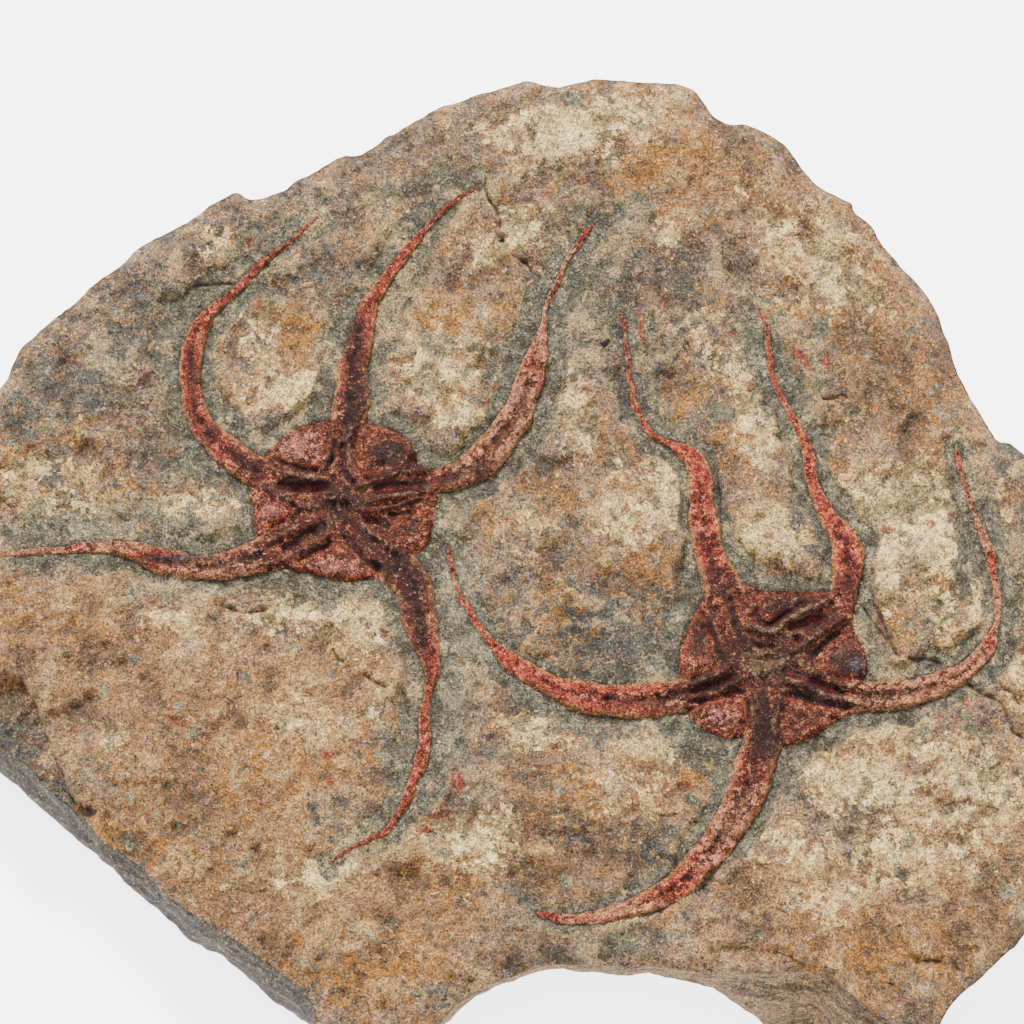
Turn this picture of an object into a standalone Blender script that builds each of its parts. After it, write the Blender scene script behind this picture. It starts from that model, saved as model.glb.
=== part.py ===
"""Brittle-star fossil slab.

A loose, hand-sized slab of siltstone with two brittle stars lying in low relief on its face. Each star
has a central disc and five tapering arms, seen from the mouth side, and lies in a shallow channel. The
slab is one piece, and each star is split where its arms leave the disc. The slab lies on its flat
underside with its face up.

Plans and heights are in millimetres, with the origin at the bottom centre of the slab, +X to the right,
+Y to the top of the slab and +Z out of its face. The meshes are written in metres.
"""

import math

import bmesh
import bpy
import numpy as np
from mathutils.geometry import delaunay_2d_cdt

MM = 0.001  # metres in a millimetre

# ---- driving dimensions, mm
FACE_Z = 24.0  # height of the slab's face over its underside
GAP = 0.3  # clearance between a star's piece and whatever it touches
SEAT_Z = 19.5  # floor of the recess that each star's pieces sit in
CHANNEL = 0.9  # depth of the channel round a star, under the face beside it
CHANNEL_WALL = 1.3  # width over which the channel's edge falls
DISC_HALO = 3.0  # width of the channel round a disc
DISC_RISE = 0.55  # height of a disc's edge over the channel
FIELD_DOME = 0.55  # crown of the fields between a disc's ribs
RIB_RISE = 0.75  # crown of the twin ridges of an arm where they cross the disc
SLIT_DEPTH = 0.9  # depth of a disc's slits and of its mouth
ROUND_EDGE = 1.7  # how far the face falls at the slab's rim
ROUND_WIDTH = 6.0  # width over which it falls
SLOPE = 1.6  # fall per millimetre of the broken slope at the lower right

# ---- mesh sizes, mm
GRID = 4.4  # spacing of the face's points
RIM_STEP = 4.6  # spacing of points round the slab's outline
STAR_STEP = 3.1  # spacing of stations along an arm
DISC_GRID = 2.3  # spacing of the points inside a disc's fields and along its ribs
SEED = 11

# Outline of the slab at its widest, clockwise from the left end: x, y, and how far the underside's edge
# lies inside it.
OUTLINE = [
    (-97.7, -7, 4), (-97.4, 1, 4), (-95.8, 9, 4), (-93, 17, 4), (-89.5, 24, 3.5), (-85.5, 30, 3),
    (-81.6, 35.8, 3), (-78.4, 41.5, 3), (-73.1, 46.5, 3), (-67.7, 51.7, 3), (-61.7, 56.8, 3),
    (-55.7, 61.9, 3), (-49.1, 65.4, 3), (-42.6, 68.8, 3), (-40.2, 67.7, 3), (-37, 68.4, 3),
    (-29.9, 72.1, 3), (-25.5, 74.9, 3), (-19.9, 76.9, 3), (-15.5, 80, 3), (-7.7, 84.5, 3),
    (-0.5, 86.8, 3), (6.6, 88.8, 3), (11.6, 88, 3), (19.4, 89, 3), (29, 88.5, 3), (34.4, 87.7, 3),
    (37.3, 84.5, 3), (39.5, 81.9, 3), (44.4, 80.8, 3), (50.5, 77.6, 3), (54.3, 72.6, 3),
    (58.7, 68.6, 3), (62.2, 67, 3), (63, 65, 3), (65.7, 62.6, 3), (69, 57.7, 3), (72.8, 53.3, 3),
    (76.6, 47.2, 3), (78.2, 43.7, 3), (78.9, 39.8, 3), (81.2, 34, 3), (84.6, 27.6, 3), (86.1, 25.5, 3),
    (88.4, 25.2, 3), (91, 22.8, 4), (94.2, 18.5, 4), (96.5, 12, 5), (97.5, 3, 5), (97.7, -8, 5),
    (97, -20, 5), (95.9, -30, 5), (94.4, -40, 5), (92.2, -48.5, 5), (88.4, -58.6, 6), (84.5, -62, 6),
    (81.2, -65.2, 6), (78, -68, 6), (75.1, -72.4, 6), (73.6, -78, 5), (71.8, -84, 4), (68.5, -88, 3),
    (63.5, -88.4, 3), (58, -85, 2), (52.8, -80, 2), (48.6, -75, 1.5), (45.5, -70.5, 1), (42.8, -68.6, 1),
    (39.5, -66.3, 1), (36.1, -64.8, 1), (28.6, -63.4, 1), (22.5, -63.5, 1), (17, -63, 1),
    (11.5, -63, 1), (4.4, -65, 1), (0.7, -66.8, 1), (-3.8, -68.6, 1), (-6.3, -71.5, 1.5),
    (-9, -75.2, 2.5), (-13, -78, 3), (-18, -78.8, 3), (-23.5, -77, 2.5), (-28, -73.7, 1.5),
    (-32.3, -70, 1), (-39.9, -63.7, 1), (-44.5, -60.5, 1), (-49, -57.6, 1), (-55.3, -52.4, 1),
    (-60.9, -47.8, 1), (-67.1, -42.4, 1), (-71.1, -38.6, 1.5), (-74.5, -35.2, 2), (-79.5, -31.2, 2),
    (-84, -27.6, 3), (-90, -22.2, 4), (-94.8, -15.5, 4),
]

# The arms run from tip to disc: x, y, half width. Halo: place along the arm from 0 at the tip to 1 at
# the disc, and the channel's width on the arm's left and right. Rib: the arm's twin ridges crossing
# the disc, from its edge to the mouth. Web: the disc's edge from this arm to the next one anticlockwise.
# Tables go anticlockwise round each star, from the arm that leaves to the right.
LEFT_STAR = {
    "name": "left_star",
    "mouth": (-24.0, 14.0, 1.5),
    "arms": [
        {
            "path": [
                (18.4, 62.9, 0.4), (16.7, 60.9, 0.6), (15.1, 58.5, 0.55), (13.7, 56.3, 0.5),
                (12.7, 54.1, 0.45), (11.8, 51.6, 0.5), (10.6, 49.4, 0.45), (10, 47.4, 0.4),
                (9.8, 45.5, 0.6), (9.4, 43.5, 1.0), (8.9, 41.4, 1.5), (8.5, 39.4, 1.95),
                (8.1, 37.5, 2.15), (7.5, 35.5, 2.3), (6.7, 33.6, 2.35), (5.8, 31.4, 2.4),
                (4.8, 29, 2.7), (3.2, 26.4, 2.9), (1, 23.4, 3.0), (-1.4, 20.9, 2.9),
                (-4.6, 19, 2.4), (-7.8, 18.2, 2.1),
            ],
            "halo": [
                (0, 3, 2.2), (0.15, 4.2, 2.6), (0.3, 5, 3.4), (0.42, 4, 4), (0.55, 3.3, 3.6),
                (0.75, 3.5, 2.4), (1, 3, 2),
            ],
            "rib": [(-7.8, 18.2, 2.1), (-12, 17.3, 2), (-16.5, 16.9, 1.9), (-21, 15.4, 1.5)],
            "web": [(-11, 21), (-11.5, 23.3), (-13.4, 25.6), (-16, 27.2)],
        },
        {
            "path": [
                (-1.2, 69.6, 0.35), (-2.3, 68.7, 0.4), (-4.7, 67.2, 0.45), (-7.1, 65.4, 0.45),
                (-9, 63.4, 0.5), (-10.9, 61, 0.65), (-12.8, 58.6, 0.9), (-14.7, 55.9, 0.95),
                (-16.4, 53.7, 1.05), (-17.8, 51.5, 1.2), (-19.2, 49.4, 1.4), (-19.9, 47.6, 1.7),
                (-20.4, 45.4, 1.9), (-21, 43, 2.1), (-21.7, 40, 2.3), (-22.1, 38.1, 2.4),
                (-22.3, 36.2, 2.5), (-22.5, 32.4, 2.95), (-22.9, 28.6, 3.1),
            ],
            "halo": [
                (0, 1.2, 2.5), (0.15, 1.8, 3.2), (0.35, 2.6, 3.6), (0.5, 5, 2.6), (0.65, 4.5, 2.8),
                (0.8, 4, 3.6), (1, 3.4, 3.6),
            ],
            "rib": [(-22.9, 28.6, 3), (-23.4, 25, 2.4), (-23.9, 21.5, 2), (-24.1, 17.5, 1.7)],
            "web": [(-28.5, 28.2), (-31.2, 27.4), (-33.7, 25.9), (-35.6, 24.2)],
        },
        {
            "path": [
                (-28.4, 63.8, 0.35), (-30.1, 62.4, 0.4), (-31.7, 60.9, 0.5), (-33.5, 59.2, 0.45),
                (-35.4, 57.9, 0.5), (-37, 56.5, 0.6), (-38.7, 54.9, 0.7), (-40, 53.3, 0.75),
                (-41.7, 51.5, 0.75), (-43.4, 50, 0.75), (-44.8, 48.9, 0.85), (-46.5, 47.3, 1.2),
                (-47.6, 45.6, 1.5), (-48.6, 43.8, 1.65), (-49.2, 41.5, 1.8), (-49.6, 39.2, 1.95),
                (-49.7, 36.6, 1.85), (-49.6, 35, 1.7), (-49.2, 32.2, 1.75), (-48.7, 30.3, 1.85),
                (-47.8, 28.3, 2.0), (-46.5, 26.3, 2.3), (-44.9, 24.6, 2.45), (-42.6, 22.6, 2.6),
                (-38.9, 20, 2.75),
            ],
            "halo": [
                (0, 2.2, 3.2), (0.2, 2.2, 2.6), (0.36, 2.6, 5), (0.5, 2.4, 5.5), (0.62, 2.2, 4),
                (0.75, 3.4, 3), (1, 3.5, 2.5),
            ],
            "rib": [(-38.9, 20, 2.7), (-35, 18.1, 2.2), (-31, 17.1, 2), (-26.8, 15.6, 1.6)],
            "web": [(-39.4, 15.8), (-39, 13), (-38.8, 10.2)],
        },
        {
            "path": [
                (-88, 6.1, 0.4), (-85, 5.8, 0.5), (-82, 5.7, 0.55), (-79.7, 5.8, 0.6), (-77.1, 6, 0.6),
                (-74.6, 6.3, 0.6), (-72, 6.4, 0.65), (-69.5, 6.6, 0.75), (-67, 6.95, 0.85),
                (-64, 6.85, 0.95), (-62.2, 6.8, 1.15), (-60.1, 6.5, 1.5), (-58, 6.1, 1.8),
                (-55.8, 5.1, 2), (-53.7, 4.5, 2.1), (-51.1, 4.1, 2.1), (-48.4, 3.5, 2.15),
                (-46.2, 3.4, 2.2), (-44, 3.6, 2.4), (-41, 4.3, 2.7), (-37.7, 5.2, 3.0),
            ],
            "halo": [
                (0, 4.5, 2.5), (0.35, 4.8, 3), (0.5, 4, 3), (0.62, 2, 2.4), (0.8, 3.2, 2.2), (1, 4, 2.4),
            ],
            "rib": [(-37.7, 5.2, 2.9), (-34, 7.3, 2.5), (-30.5, 9.6, 2), (-27, 12, 1.6)],
            "web": [(-33, 2.7), (-30, 2.2), (-27, 1.5), (-24, 0.9), (-20.8, 0.9)],
        },
        {
            "path": [
                (-25.4, -45.9, 0.35), (-22.1, -43.7, 0.35), (-20.9, -43, 0.4), (-18.9, -42.1, 0.45),
                (-16.8, -41.2, 0.5), (-15.6, -40, 0.5), (-14.9, -38.8, 0.5), (-13.6, -37, 0.6),
                (-13, -35.6, 0.8), (-12.4, -34.2, 0.85), (-12, -32.6, 0.7), (-11.3, -31.2, 0.95),
                (-10.7, -29.3, 1.2), (-10.2, -27.2, 1.1), (-10, -25.6, 1.05), (-10, -23.5, 1),
                (-10.1, -21.3, 0.85), (-9.7, -19.2, 0.65), (-9.3, -17, 0.75), (-8.8, -14.9, 1.25),
                (-9, -12.8, 1.5), (-9.6, -10.6, 2), (-10.2, -8.5, 2.5), (-10.7, -6.3, 2.9),
                (-11.1, -4.2, 3), (-11.6, -2, 3.2), (-12.4, 0.3, 3.3), (-14.4, 3.05, 3.4),
            ],
            "halo": [
                (0, 1.5, 2), (0.15, 2.5, 2.4), (0.3, 2.8, 3.4), (0.45, 3.5, 4.2), (0.6, 4.3, 4.5),
                (0.75, 2.8, 4.5), (1, 2.6, 4),
            ],
            "rib": [(-14.4, 3.05, 3.3), (-16.6, 6, 2.7), (-19.4, 9.3, 2.2), (-21.8, 11.8, 1.6)],
            "web": [(-9.6, 7), (-8.6, 10), (-8.1, 13)],
        },
    ],
    # slits: x, y, half length, half width, turn in degrees
    "slits": [
        (-30.8, 17.3, 4.2, 1.0, 2), (-14.4, 17.1, 3.2, 1.0, 2), (-18.7, 11.2, 2.0, 0.8, -10),
        (-32.2, 12.6, 1.6, 0.8, 55), (-26.3, 11.7, 3.0, 0.7, 0), (-26.0, 21.8, 2.6, 0.6, 74),
        (-22.6, 20.5, 2.8, 0.5, -72), (-15.5, 7.4, 3.4, 0.5, -42),
    ],
}

RIGHT_STAR = {
    "name": "right_star",
    "mouth": (46.0, -12.6, 1.8),
    "arms": [
        {
            "path": [
                (78.7, 24.4, 0.35), (79, 22.8, 0.5), (79.2, 21.5, 0.5), (79.3, 20, 0.4),
                (79.8, 18.6, 0.35), (80.3, 17, 0.4), (80.7, 15.5, 0.4), (81.2, 13.8, 0.4),
                (81.7, 12.3, 0.45), (82.2, 10.8, 0.55), (82.8, 9.5, 0.65), (83.3, 8, 0.8),
                (83.9, 6.5, 0.85), (84.2, 5, 0.9), (84.3, 3.4, 0.8), (84.5, 2, 0.65),
                (84.8, 0.8, 0.65), (85.1, -1.2, 0.75), (85.2, -2.5, 0.7), (85.2, -3.6, 0.65),
                (85.1, -5, 0.5), (84.9, -6.3, 0.55), (84.5, -7.4, 0.75), (83.8, -8.8, 1.15),
                (83, -10.3, 1.4), (82, -11.7, 1.45), (80.9, -12.9, 1.5), (79.6, -14, 1.65),
                (77.9, -15.1, 1.85), (76, -15.9, 2.0), (74, -16.8, 2.1), (71.5, -17.6, 2.25),
                (68.5, -18.2, 2.5), (65.6, -18.4, 2.65), (63, -18.35, 2.7),
            ],
            "halo": [
                (0, 2, 1.5), (0.12, 3.8, 2.2), (0.3, 3.5, 3.6), (0.45, 3.5, 2.4), (0.55, 3, 2.2),
                (0.68, 3.2, 2.9), (0.82, 2.3, 3.6), (1, 2.6, 3.8),
            ],
            "rib": [(63, -18.35, 2.6), (59, -17.6, 2.4), (55, -16.2, 2.2), (51, -14.6, 1.8)],
            "web": [(63.7, -13.4), (63.3, -11.2), (62.2, -8.8), (61.3, -6.4)],
        },
        {
            "path": [
                (45.5, 48.6, 0.35), (46, 47.4, 0.35), (46.5, 46.3, 0.35), (47.2, 45, 0.35),
                (47.4, 43.6, 0.45), (47.4, 42, 0.5), (47.6, 40, 0.55), (47.9, 38.2, 0.6),
                (48.2, 36, 0.55), (48.7, 34.6, 0.5), (49.3, 33, 0.5), (50, 31.7, 0.5),
                (50.8, 30.2, 0.5), (51.6, 28.6, 0.55), (52.3, 27.2, 0.65), (52.9, 26, 0.75),
                (53.4, 24.9, 0.9), (53.8, 23.7, 1.0), (54.1, 22.2, 1.15), (54.2, 20.5, 1.1),
                (54.5, 18.8, 1.0), (54.9, 17.2, 1.0), (55.5, 15.5, 1.15), (56.1, 14, 1.35),
                (56.9, 12.5, 1.5), (57.8, 11, 1.7), (58.8, 9.5, 2.0), (59.8, 7.8, 2.35),
                (60.3, 6, 2.6), (60.3, 4, 2.7), (60.2, 1.8, 2.5), (59.6, -1.2, 2.4),
            ],
            "halo": [
                (0, 1.2, 2.5), (0.15, 1.6, 3.2), (0.28, 4, 2.6), (0.42, 3.8, 3), (0.55, 2.3, 2.6),
                (0.75, 2.8, 2.5), (0.88, 2.2, 2.6), (1, 2.2, 4),
            ],
            "rib": [(59.6, -1.2, 2.4), (56, -4.6, 2.3), (52.5, -7, 2.1), (49, -9.6, 1.8)],
            "web": [(54, -0.6), (50, -0.4), (46.5, -0.4)],
        },
        {
            "path": [
                (22.7, 47.2, 0.35), (23.3, 45, 0.4), (23.4, 43.4, 0.4), (23.5, 41.5, 0.4),
                (23.9, 40, 0.4), (24, 38, 0.4), (24, 36.5, 0.4), (24.3, 35, 0.45), (24.7, 33.4, 0.45),
                (24.7, 32, 0.5), (25.2, 30.8, 0.55), (25.8, 29.5, 0.6), (26.4, 28.3, 0.6),
                (27, 27, 0.6), (28, 25.9, 0.6), (29.5, 25, 0.6), (31, 24.3, 0.75), (32.2, 23.6, 1.1),
                (33.5, 22.8, 1.5), (34.8, 21.6, 1.75), (35.6, 19.9, 1.85), (35.9, 18, 2.05),
                (35.9, 16, 2.1), (36.1, 14, 2.1), (36.2, 12, 2.3), (36.5, 10, 2.5), (36.8, 8, 2.55),
                (37.2, 6, 2.6), (37.8, 4, 2.75), (38.6, 2, 3.0), (39.5, -0.3, 3.5),
            ],
            "halo": [
                (0, 4.5, 2.2), (0.15, 3.6, 2), (0.3, 4, 2.2), (0.42, 3.5, 2.8), (0.55, 3, 2.6),
                (0.65, 2.4, 1.6), (0.85, 2.6, 1.8), (1, 4, 3.4),
            ],
            "rib": [(39.5, -0.3, 3.4), (40.3, -3.6, 2.9), (41.2, -7, 2.5), (43.2, -10.4, 1.9)],
            "web": [(35.2, -2.8), (33.7, -5.8), (32.4, -9), (32, -12.2)],
        },
        {
            "path": [
                (-6.3, 6.9, 0.35), (-6, 5.5, 0.5), (-5.7, 4, 0.45), (-5.4, 2.5, 0.4), (-5.1, 1, 0.4),
                (-4.6, -0.7, 0.4), (-4, -2, 0.5), (-3, -3.2, 0.6), (-2.2, -4.8, 0.6), (-1.5, -6.2, 0.6),
                (-0.5, -7.4, 0.65), (0.4, -8.6, 0.7), (1.5, -9.9, 0.85), (2.7, -11.2, 1.2),
                (4, -12.4, 1.5), (5.7, -13.7, 1.7), (7.6, -14.9, 1.8), (9.7, -16, 1.85),
                (11.7, -17, 2.0), (13.8, -17.8, 2.3), (16, -18.4, 2.5), (19, -18.9, 2.75),
                (22, -19.1, 2.9), (25, -19.15, 3), (28, -19, 3), (30.4, -18.7, 2.9), (32.3, -18.3, 2.85),
            ],
            "halo": [
                (0, 2, 2), (0.15, 2.2, 3), (0.35, 1.8, 3.8), (0.5, 2, 3), (0.65, 2.3, 3), (0.8, 4, 1.8),
                (1, 5.5, 4),
            ],
            "rib": [(32.3, -18.3, 2.8), (35.4, -17.2, 2.1), (38.6, -16.2, 1.9), (42.6, -14.6, 1.7)],
            "web": [(34.2, -22.8), (36.6, -24.5), (39.4, -25.8)],
        },
        {
            "path": [
                (8.2, -54.2, 0.4), (10, -54.8, 0.75), (12, -55.2, 0.9), (14.5, -55.3, 0.95),
                (17, -55.1, 1.1), (19.5, -54.7, 1.25), (22, -54, 1.35), (24.5, -53.3, 1.5),
                (26.8, -52.4, 1.8), (29, -51.3, 2.0), (31.5, -49.8, 2.3), (33.5, -48, 2.45),
                (35.5, -46, 2.5), (37.2, -44, 2.6), (38.8, -42, 2.75), (40.2, -40, 2.85),
                (41.3, -38, 2.9), (42.3, -36, 3.0), (43.2, -34, 3.15), (44, -32, 3.35),
                (44.7, -29.6, 3.4), (45.7, -26.3, 3.45),
            ],
            "halo": [
                (0, 2, 1), (0.12, 2, 1), (0.3, 1.6, 1.8), (0.45, 2.4, 0.8), (0.6, 3.2, 1.2),
                (0.75, 3, 2.6), (0.9, 3, 2.8), (1, 5, 3.6),
            ],
            "rib": [(45.7, -26.3, 3.3), (45.9, -23, 2.6), (46, -20, 2.3), (46, -16.4, 1.9)],
            "web": [(51.5, -26.4), (54.5, -25.2), (57, -23.6), (59.3, -22.1)],
        },
    ],
    "slits": [
        (53.4, -6.3, 3.0, 0.8, 22), (37.8, -16.4, 3.6, 0.8, 20), (55.5, -16.9, 4.0, 0.55, -18),
        (38.2, -9.8, 3.6, 0.5, -78), (40.7, -5.6, 2.0, 0.6, -70), (54.8, -9.6, 3.0, 0.5, 34),
        (46.5, -6.2, 2.2, 0.7, 8), (52.6, -18.9, 3.2, 0.5, -16), (43.4, -20.6, 3.0, 0.45, -86),
    ],
}

STARS = [LEFT_STAR, RIGHT_STAR]

# Raised swellings of the face: x, y, half length, half width, turn in degrees, height
SWELLINGS = [
    (16, 4, 17, 10, -10, 1.7), (-10, 53, 5, 9, -30, 0.8), (-9, 34, 8, 8, 20, 1.4), (-35, 38, 5, 8, 5, 1.2),
    (13, 24, 5, 8, -30, 0.9), (25, 5, 7, 8, 0, 0.8), (45, 24, 5, 9, 5, 1.1), (68, 2, 5, 13, 5, 1.0),
    (-60, -12, 16, 8, -5, 0.8), (-40, -25, 14, 10, 20, 0.9), (-66, 27, 12, 9, 30, 0.8),
    (15, -38, 9, 5, 5, 0.9), (62, -50, 14, 10, 0, 0.7), (74, -30, 9, 7, 0, 0.5), (64, 50, 8, 10, -30, 0.7),
    (20, 76, 16, 6, 0, 0.5), (-14, -62, 12, 7, 10, 0.5), (2, -55, 7, 5, 0, 0.7), (14.2, 35.6, 2.2, 1.8, 0, 0.9),
]

# Crisp steps of the bedding: the face drops on the right of the line, and recovers over the fade.
# Drop and fade, then the line.
LEDGES = [
    (2.0, 40, [
        (-96, -10), (-88, -12.4), (-80, -14), (-77, -15), (-75.4, -17), (-74.2, -20), (-73.2, -23.5),
        (-71.6, -27.5), (-70, -30), (-68.9, -33), (-67.4, -35.6), (-65.2, -37.1), (-63, -37.2),
    ]),
    (0.8, 5, [(-66.6, -14.8), (-65.5, -17.2), (-66.6, -18.9), (-68.4, -20), (-71.5, -20.7), (-73.3, -20)]),
    (0.7, 5, [(-55, -9.4), (-56.4, -7.1), (-58.6, -7.6), (-61, -8.3), (-63.8, -9.8), (-66.6, -9.7), (-69, -11)]),
    (0.8, 6, [(-63.6, -8.6), (-65, -6.2), (-67.6, -4.2), (-70.5, -3.4), (-74.5, -4.4)]),
    (0.9, 7, [(28, -50.2), (24, -49.6), (19.5, -48), (15.5, -47.1), (12, -45.8), (10, -43.6), (9.4, -40)]),
    (1.1, 5, [(58, -64.6), (52.5, -61.9), (47, -60.4), (40.4, -59.8), (36.5, -60.3)]),
]

# Top edge of the broken slope at the lower right, from the notch to the tip of the tongue; the face falls
# below and left of it, as far as the slope's open side.
SLOPE_TOP = [
    (37, -63.2), (41, -63.6), (47, -63.8), (53, -63.4), (57, -64.4), (59.6, -67), (62.5, -69.2),
    (66, -71.6), (68.5, -76), (69.6, -82), (69, -90),
]
SLOPE_OPEN = [(36.5, -90), (36.5, -66)]


# ---- curves and distances

def smooth_path(points, step, closed=False):
    """A Catmull-Rom curve through the points, with a point about every step along it."""
    pts = np.array(points, float)
    if closed:
        ring = np.vstack([pts[-1:], pts, pts[:2]])
    else:
        ring = np.vstack([2 * pts[0] - pts[1], pts, 2 * pts[-1] - pts[-2]])
    fine = []
    for a, b, c, d in zip(ring[:-3], ring[1:-2], ring[2:-1], ring[3:]):
        for t in np.linspace(0, 1, 12, endpoint=False):
            fine.append(
                0.5 * (2 * b + (c - a) * t + (2 * a - 5 * b + 4 * c - d) * t**2 + (3 * b - a - 3 * c + d) * t**3)
            )
    fine.append(pts[0] if closed else pts[-1])
    fine = np.array(fine)
    gone = np.concatenate([[0], np.cumsum(np.hypot(*np.diff(fine[:, :2], axis=0).T))])
    count = max(2, round(gone[-1] / step) + 1)
    at = np.linspace(0, gone[-1], count)
    path = np.column_stack([np.interp(at, gone, fine[:, k]) for k in range(fine.shape[1])])
    return path[:-1] if closed else path


def normals_of(path):
    """Unit normals to the left of a path in plan."""
    run = np.gradient(path[:, :2], axis=0)
    run /= np.linalg.norm(run, axis=1)[:, None]
    return np.column_stack([-run[:, 1], run[:, 0]])


def along(path, xy):
    """Each point's distance to a path, its place along it from 0 to 1, its side (+1 is left) and half width."""
    a = path[:-1, :2]
    leg = path[1:, :2] - a
    size = (leg**2).sum(1)
    away = xy[:, None, :] - a[None]
    t = np.clip((away * leg).sum(2) / size, 0, 1)
    gap = np.hypot(*np.moveaxis(away - t[..., None] * leg, 2, 0))
    best = gap.argmin(1)
    row = np.arange(len(xy))
    place = t[row, best]
    start = np.concatenate([[0], np.cumsum(np.sqrt(size))])
    gone = (start[best] + place * np.sqrt(size)[best]) / start[-1]
    cross = leg[best, 0] * away[row, best, 1] - leg[best, 1] * away[row, best, 0]
    half = 0.0
    if path.shape[1] > 2:
        half = path[best, 2] * (1 - place) + path[best + 1, 2] * place
    return gap[row, best], gone, np.where(cross >= 0, 1.0, -1.0), half


def inside(ring, xy):
    """Whether each point lies in a closed outline."""
    x, y = xy[:, 0], xy[:, 1]
    hit = np.zeros(len(xy), bool)
    for (x0, y0), (x1, y1) in zip(ring, np.roll(ring, -1, axis=0)):
        over = (y0 > y) != (y1 > y)
        if y0 != y1:
            hit ^= over & (x < (x1 - x0) * (y - y0) / (y1 - y0) + x0)
    return hit


def edge_distance(ring, xy):
    """Signed distance to a closed outline, positive outside it."""
    closed = np.vstack([ring, ring[:1]])
    gap = along(closed, xy)[0]
    return np.where(inside(ring, xy), -gap, gap)


def soft(value):
    """Smooth step from 0 at 0 to 1 at 1."""
    value = np.clip(value, 0, 1)
    return value * value * (3 - 2 * value)


def rough(xy, size, seed):
    """Smooth value noise from -1 to 1 with bumps about the given size across."""
    table = np.random.default_rng(SEED + seed).uniform(-1, 1, (64, 64))
    at = xy / size + 1000.0
    cell = np.floor(at).astype(int)
    u = soft(at - cell)
    x0, y0 = cell[:, 0] % 64, cell[:, 1] % 64
    x1, y1 = (x0 + 1) % 64, (y0 + 1) % 64
    low = table[x0, y0] * (1 - u[:, 0]) + table[x1, y0] * u[:, 0]
    high = table[x0, y1] * (1 - u[:, 0]) + table[x1, y1] * u[:, 0]
    return low * (1 - u[:, 1]) + high * u[:, 1]


def mound(xy, x, y, length, width, turn):
    """A smooth oval mound, 1 at its middle and 0 at about twice its half length and half width."""
    angle = math.radians(turn)
    away = xy - (x, y)
    u = (away[:, 0] * math.cos(angle) + away[:, 1] * math.sin(angle)) / length
    v = (away[:, 1] * math.cos(angle) - away[:, 0] * math.sin(angle)) / width
    return np.exp(-(u**2 + v**2))


# ---- the stars in plan

def arm_sides(path, spare):
    """The left and right edges of an arm, widened by spare."""
    out = normals_of(path) * (path[:, 2:3] + spare)
    return path[:, :2] + out, path[:, :2] - out


def arm_path(arm):
    """An arm's stations from tip to disc."""
    return smooth_path(arm["path"], STAR_STEP)


def mitre(corner, first, second):
    """A corner moved outwards by the clearance from both of the edges that meet there, by their normals."""
    return corner + GAP * (first + second) / (1 + first @ second)


def outward(points):
    """Unit normals on the outer side of an outline that runs anticlockwise."""
    return -normals_of(points)


def web_points(star, i):
    """The disc's edge from arm i to the next arm, without the arms' corners."""
    arms = star["arms"]
    start = arm_sides(arm_path(arms[i]), 0)[1][-1]
    end = arm_sides(arm_path(arms[(i + 1) % len(arms)]), 0)[0][-1]
    curve = smooth_path([tuple(start), *arms[i]["web"], tuple(end)], DISC_GRID)
    return curve[1:-1]


def disc_ring(star):
    """Outline of a disc, cut square across at each arm."""
    ring = []
    for i, arm in enumerate(star["arms"]):
        path = arm_path(arm)
        left, right = arm_sides(path, 0)
        back = (path[-1, :2] - path[-2, :2]) * (GAP / 2) / np.linalg.norm(path[-1, :2] - path[-2, :2])
        cut = [left[-1] * (1 - t) + right[-1] * t + back for t in (0, 0.2, 0.5, 0.8, 1)]
        ring += [*cut, *web_points(star, i)]
    return np.array(ring)


def star_ring(star):
    """Outline of the recess that holds a whole star: every arm and the disc, with clearance all round."""
    ring = []
    last = web_points(star, len(star["arms"]) - 1)
    for i, arm in enumerate(star["arms"]):
        path = arm_path(arm)
        side = normals_of(path)
        left, right = arm_sides(path, GAP)
        start, end = (edge[-1] for edge in arm_sides(path, 0))
        web = web_points(star, i)
        left[-1] = mitre(start, side[-1], outward(np.vstack([last[-1:], start]))[0])
        right[-1] = mitre(end, -side[-1], outward(np.vstack([end, web[:1]]))[0])
        tip = path[0, :2] + (path[0, :2] - path[1, :2]) * (2 * GAP) / np.linalg.norm(path[0, :2] - path[1, :2])
        round_web = np.vstack([end, web, web[-1:] * 2 - web[-2:-1]])
        ring += [*left[::-1], tip, *right, *(web + GAP * outward(round_web)[1:-1])]
        last = web
    return np.array(ring)


# ---- the face's height

def channel_mask(xy):
    """1 on the stars and in the channels beside them, 0 on the open face."""
    mask = np.zeros(len(xy))
    for star in STARS:
        for arm in star["arms"]:
            gap, gone, side, half = along(smooth_path(arm["path"], 2.0), xy)
            at, left, right = np.array(arm["halo"]).T
            reach = np.where(side > 0, np.interp(gone, at, left), np.interp(gone, at, right))
            mask = np.maximum(mask, soft((reach + 0.4 - (gap - half)) / CHANNEL_WALL))
        away = edge_distance(disc_ring(star), xy)
        mask = np.maximum(mask, soft((DISC_HALO + 0.4 - away) / CHANNEL_WALL))
    return mask


def bedding_steps(xy):
    """The drops beside the ledges."""
    drop = np.zeros(len(xy))
    for depth, fade, line in LEDGES:
        gap, gone, side, _ = along(np.array(line, float), xy)
        ends = soft(gone / 0.08) * soft((1 - gone) / 0.08)
        drop += np.where(side < 0, depth * np.exp(-((gap / fade) ** 2)) * ends, 0)
    return drop


def broken_slope(xy):
    """The fall below the top of the broken slope."""
    gap = along(np.array(SLOPE_TOP, float), xy)[0]
    return np.where(inside(np.array(SLOPE_TOP + SLOPE_OPEN, float), xy), SLOPE * gap, 0)


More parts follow.
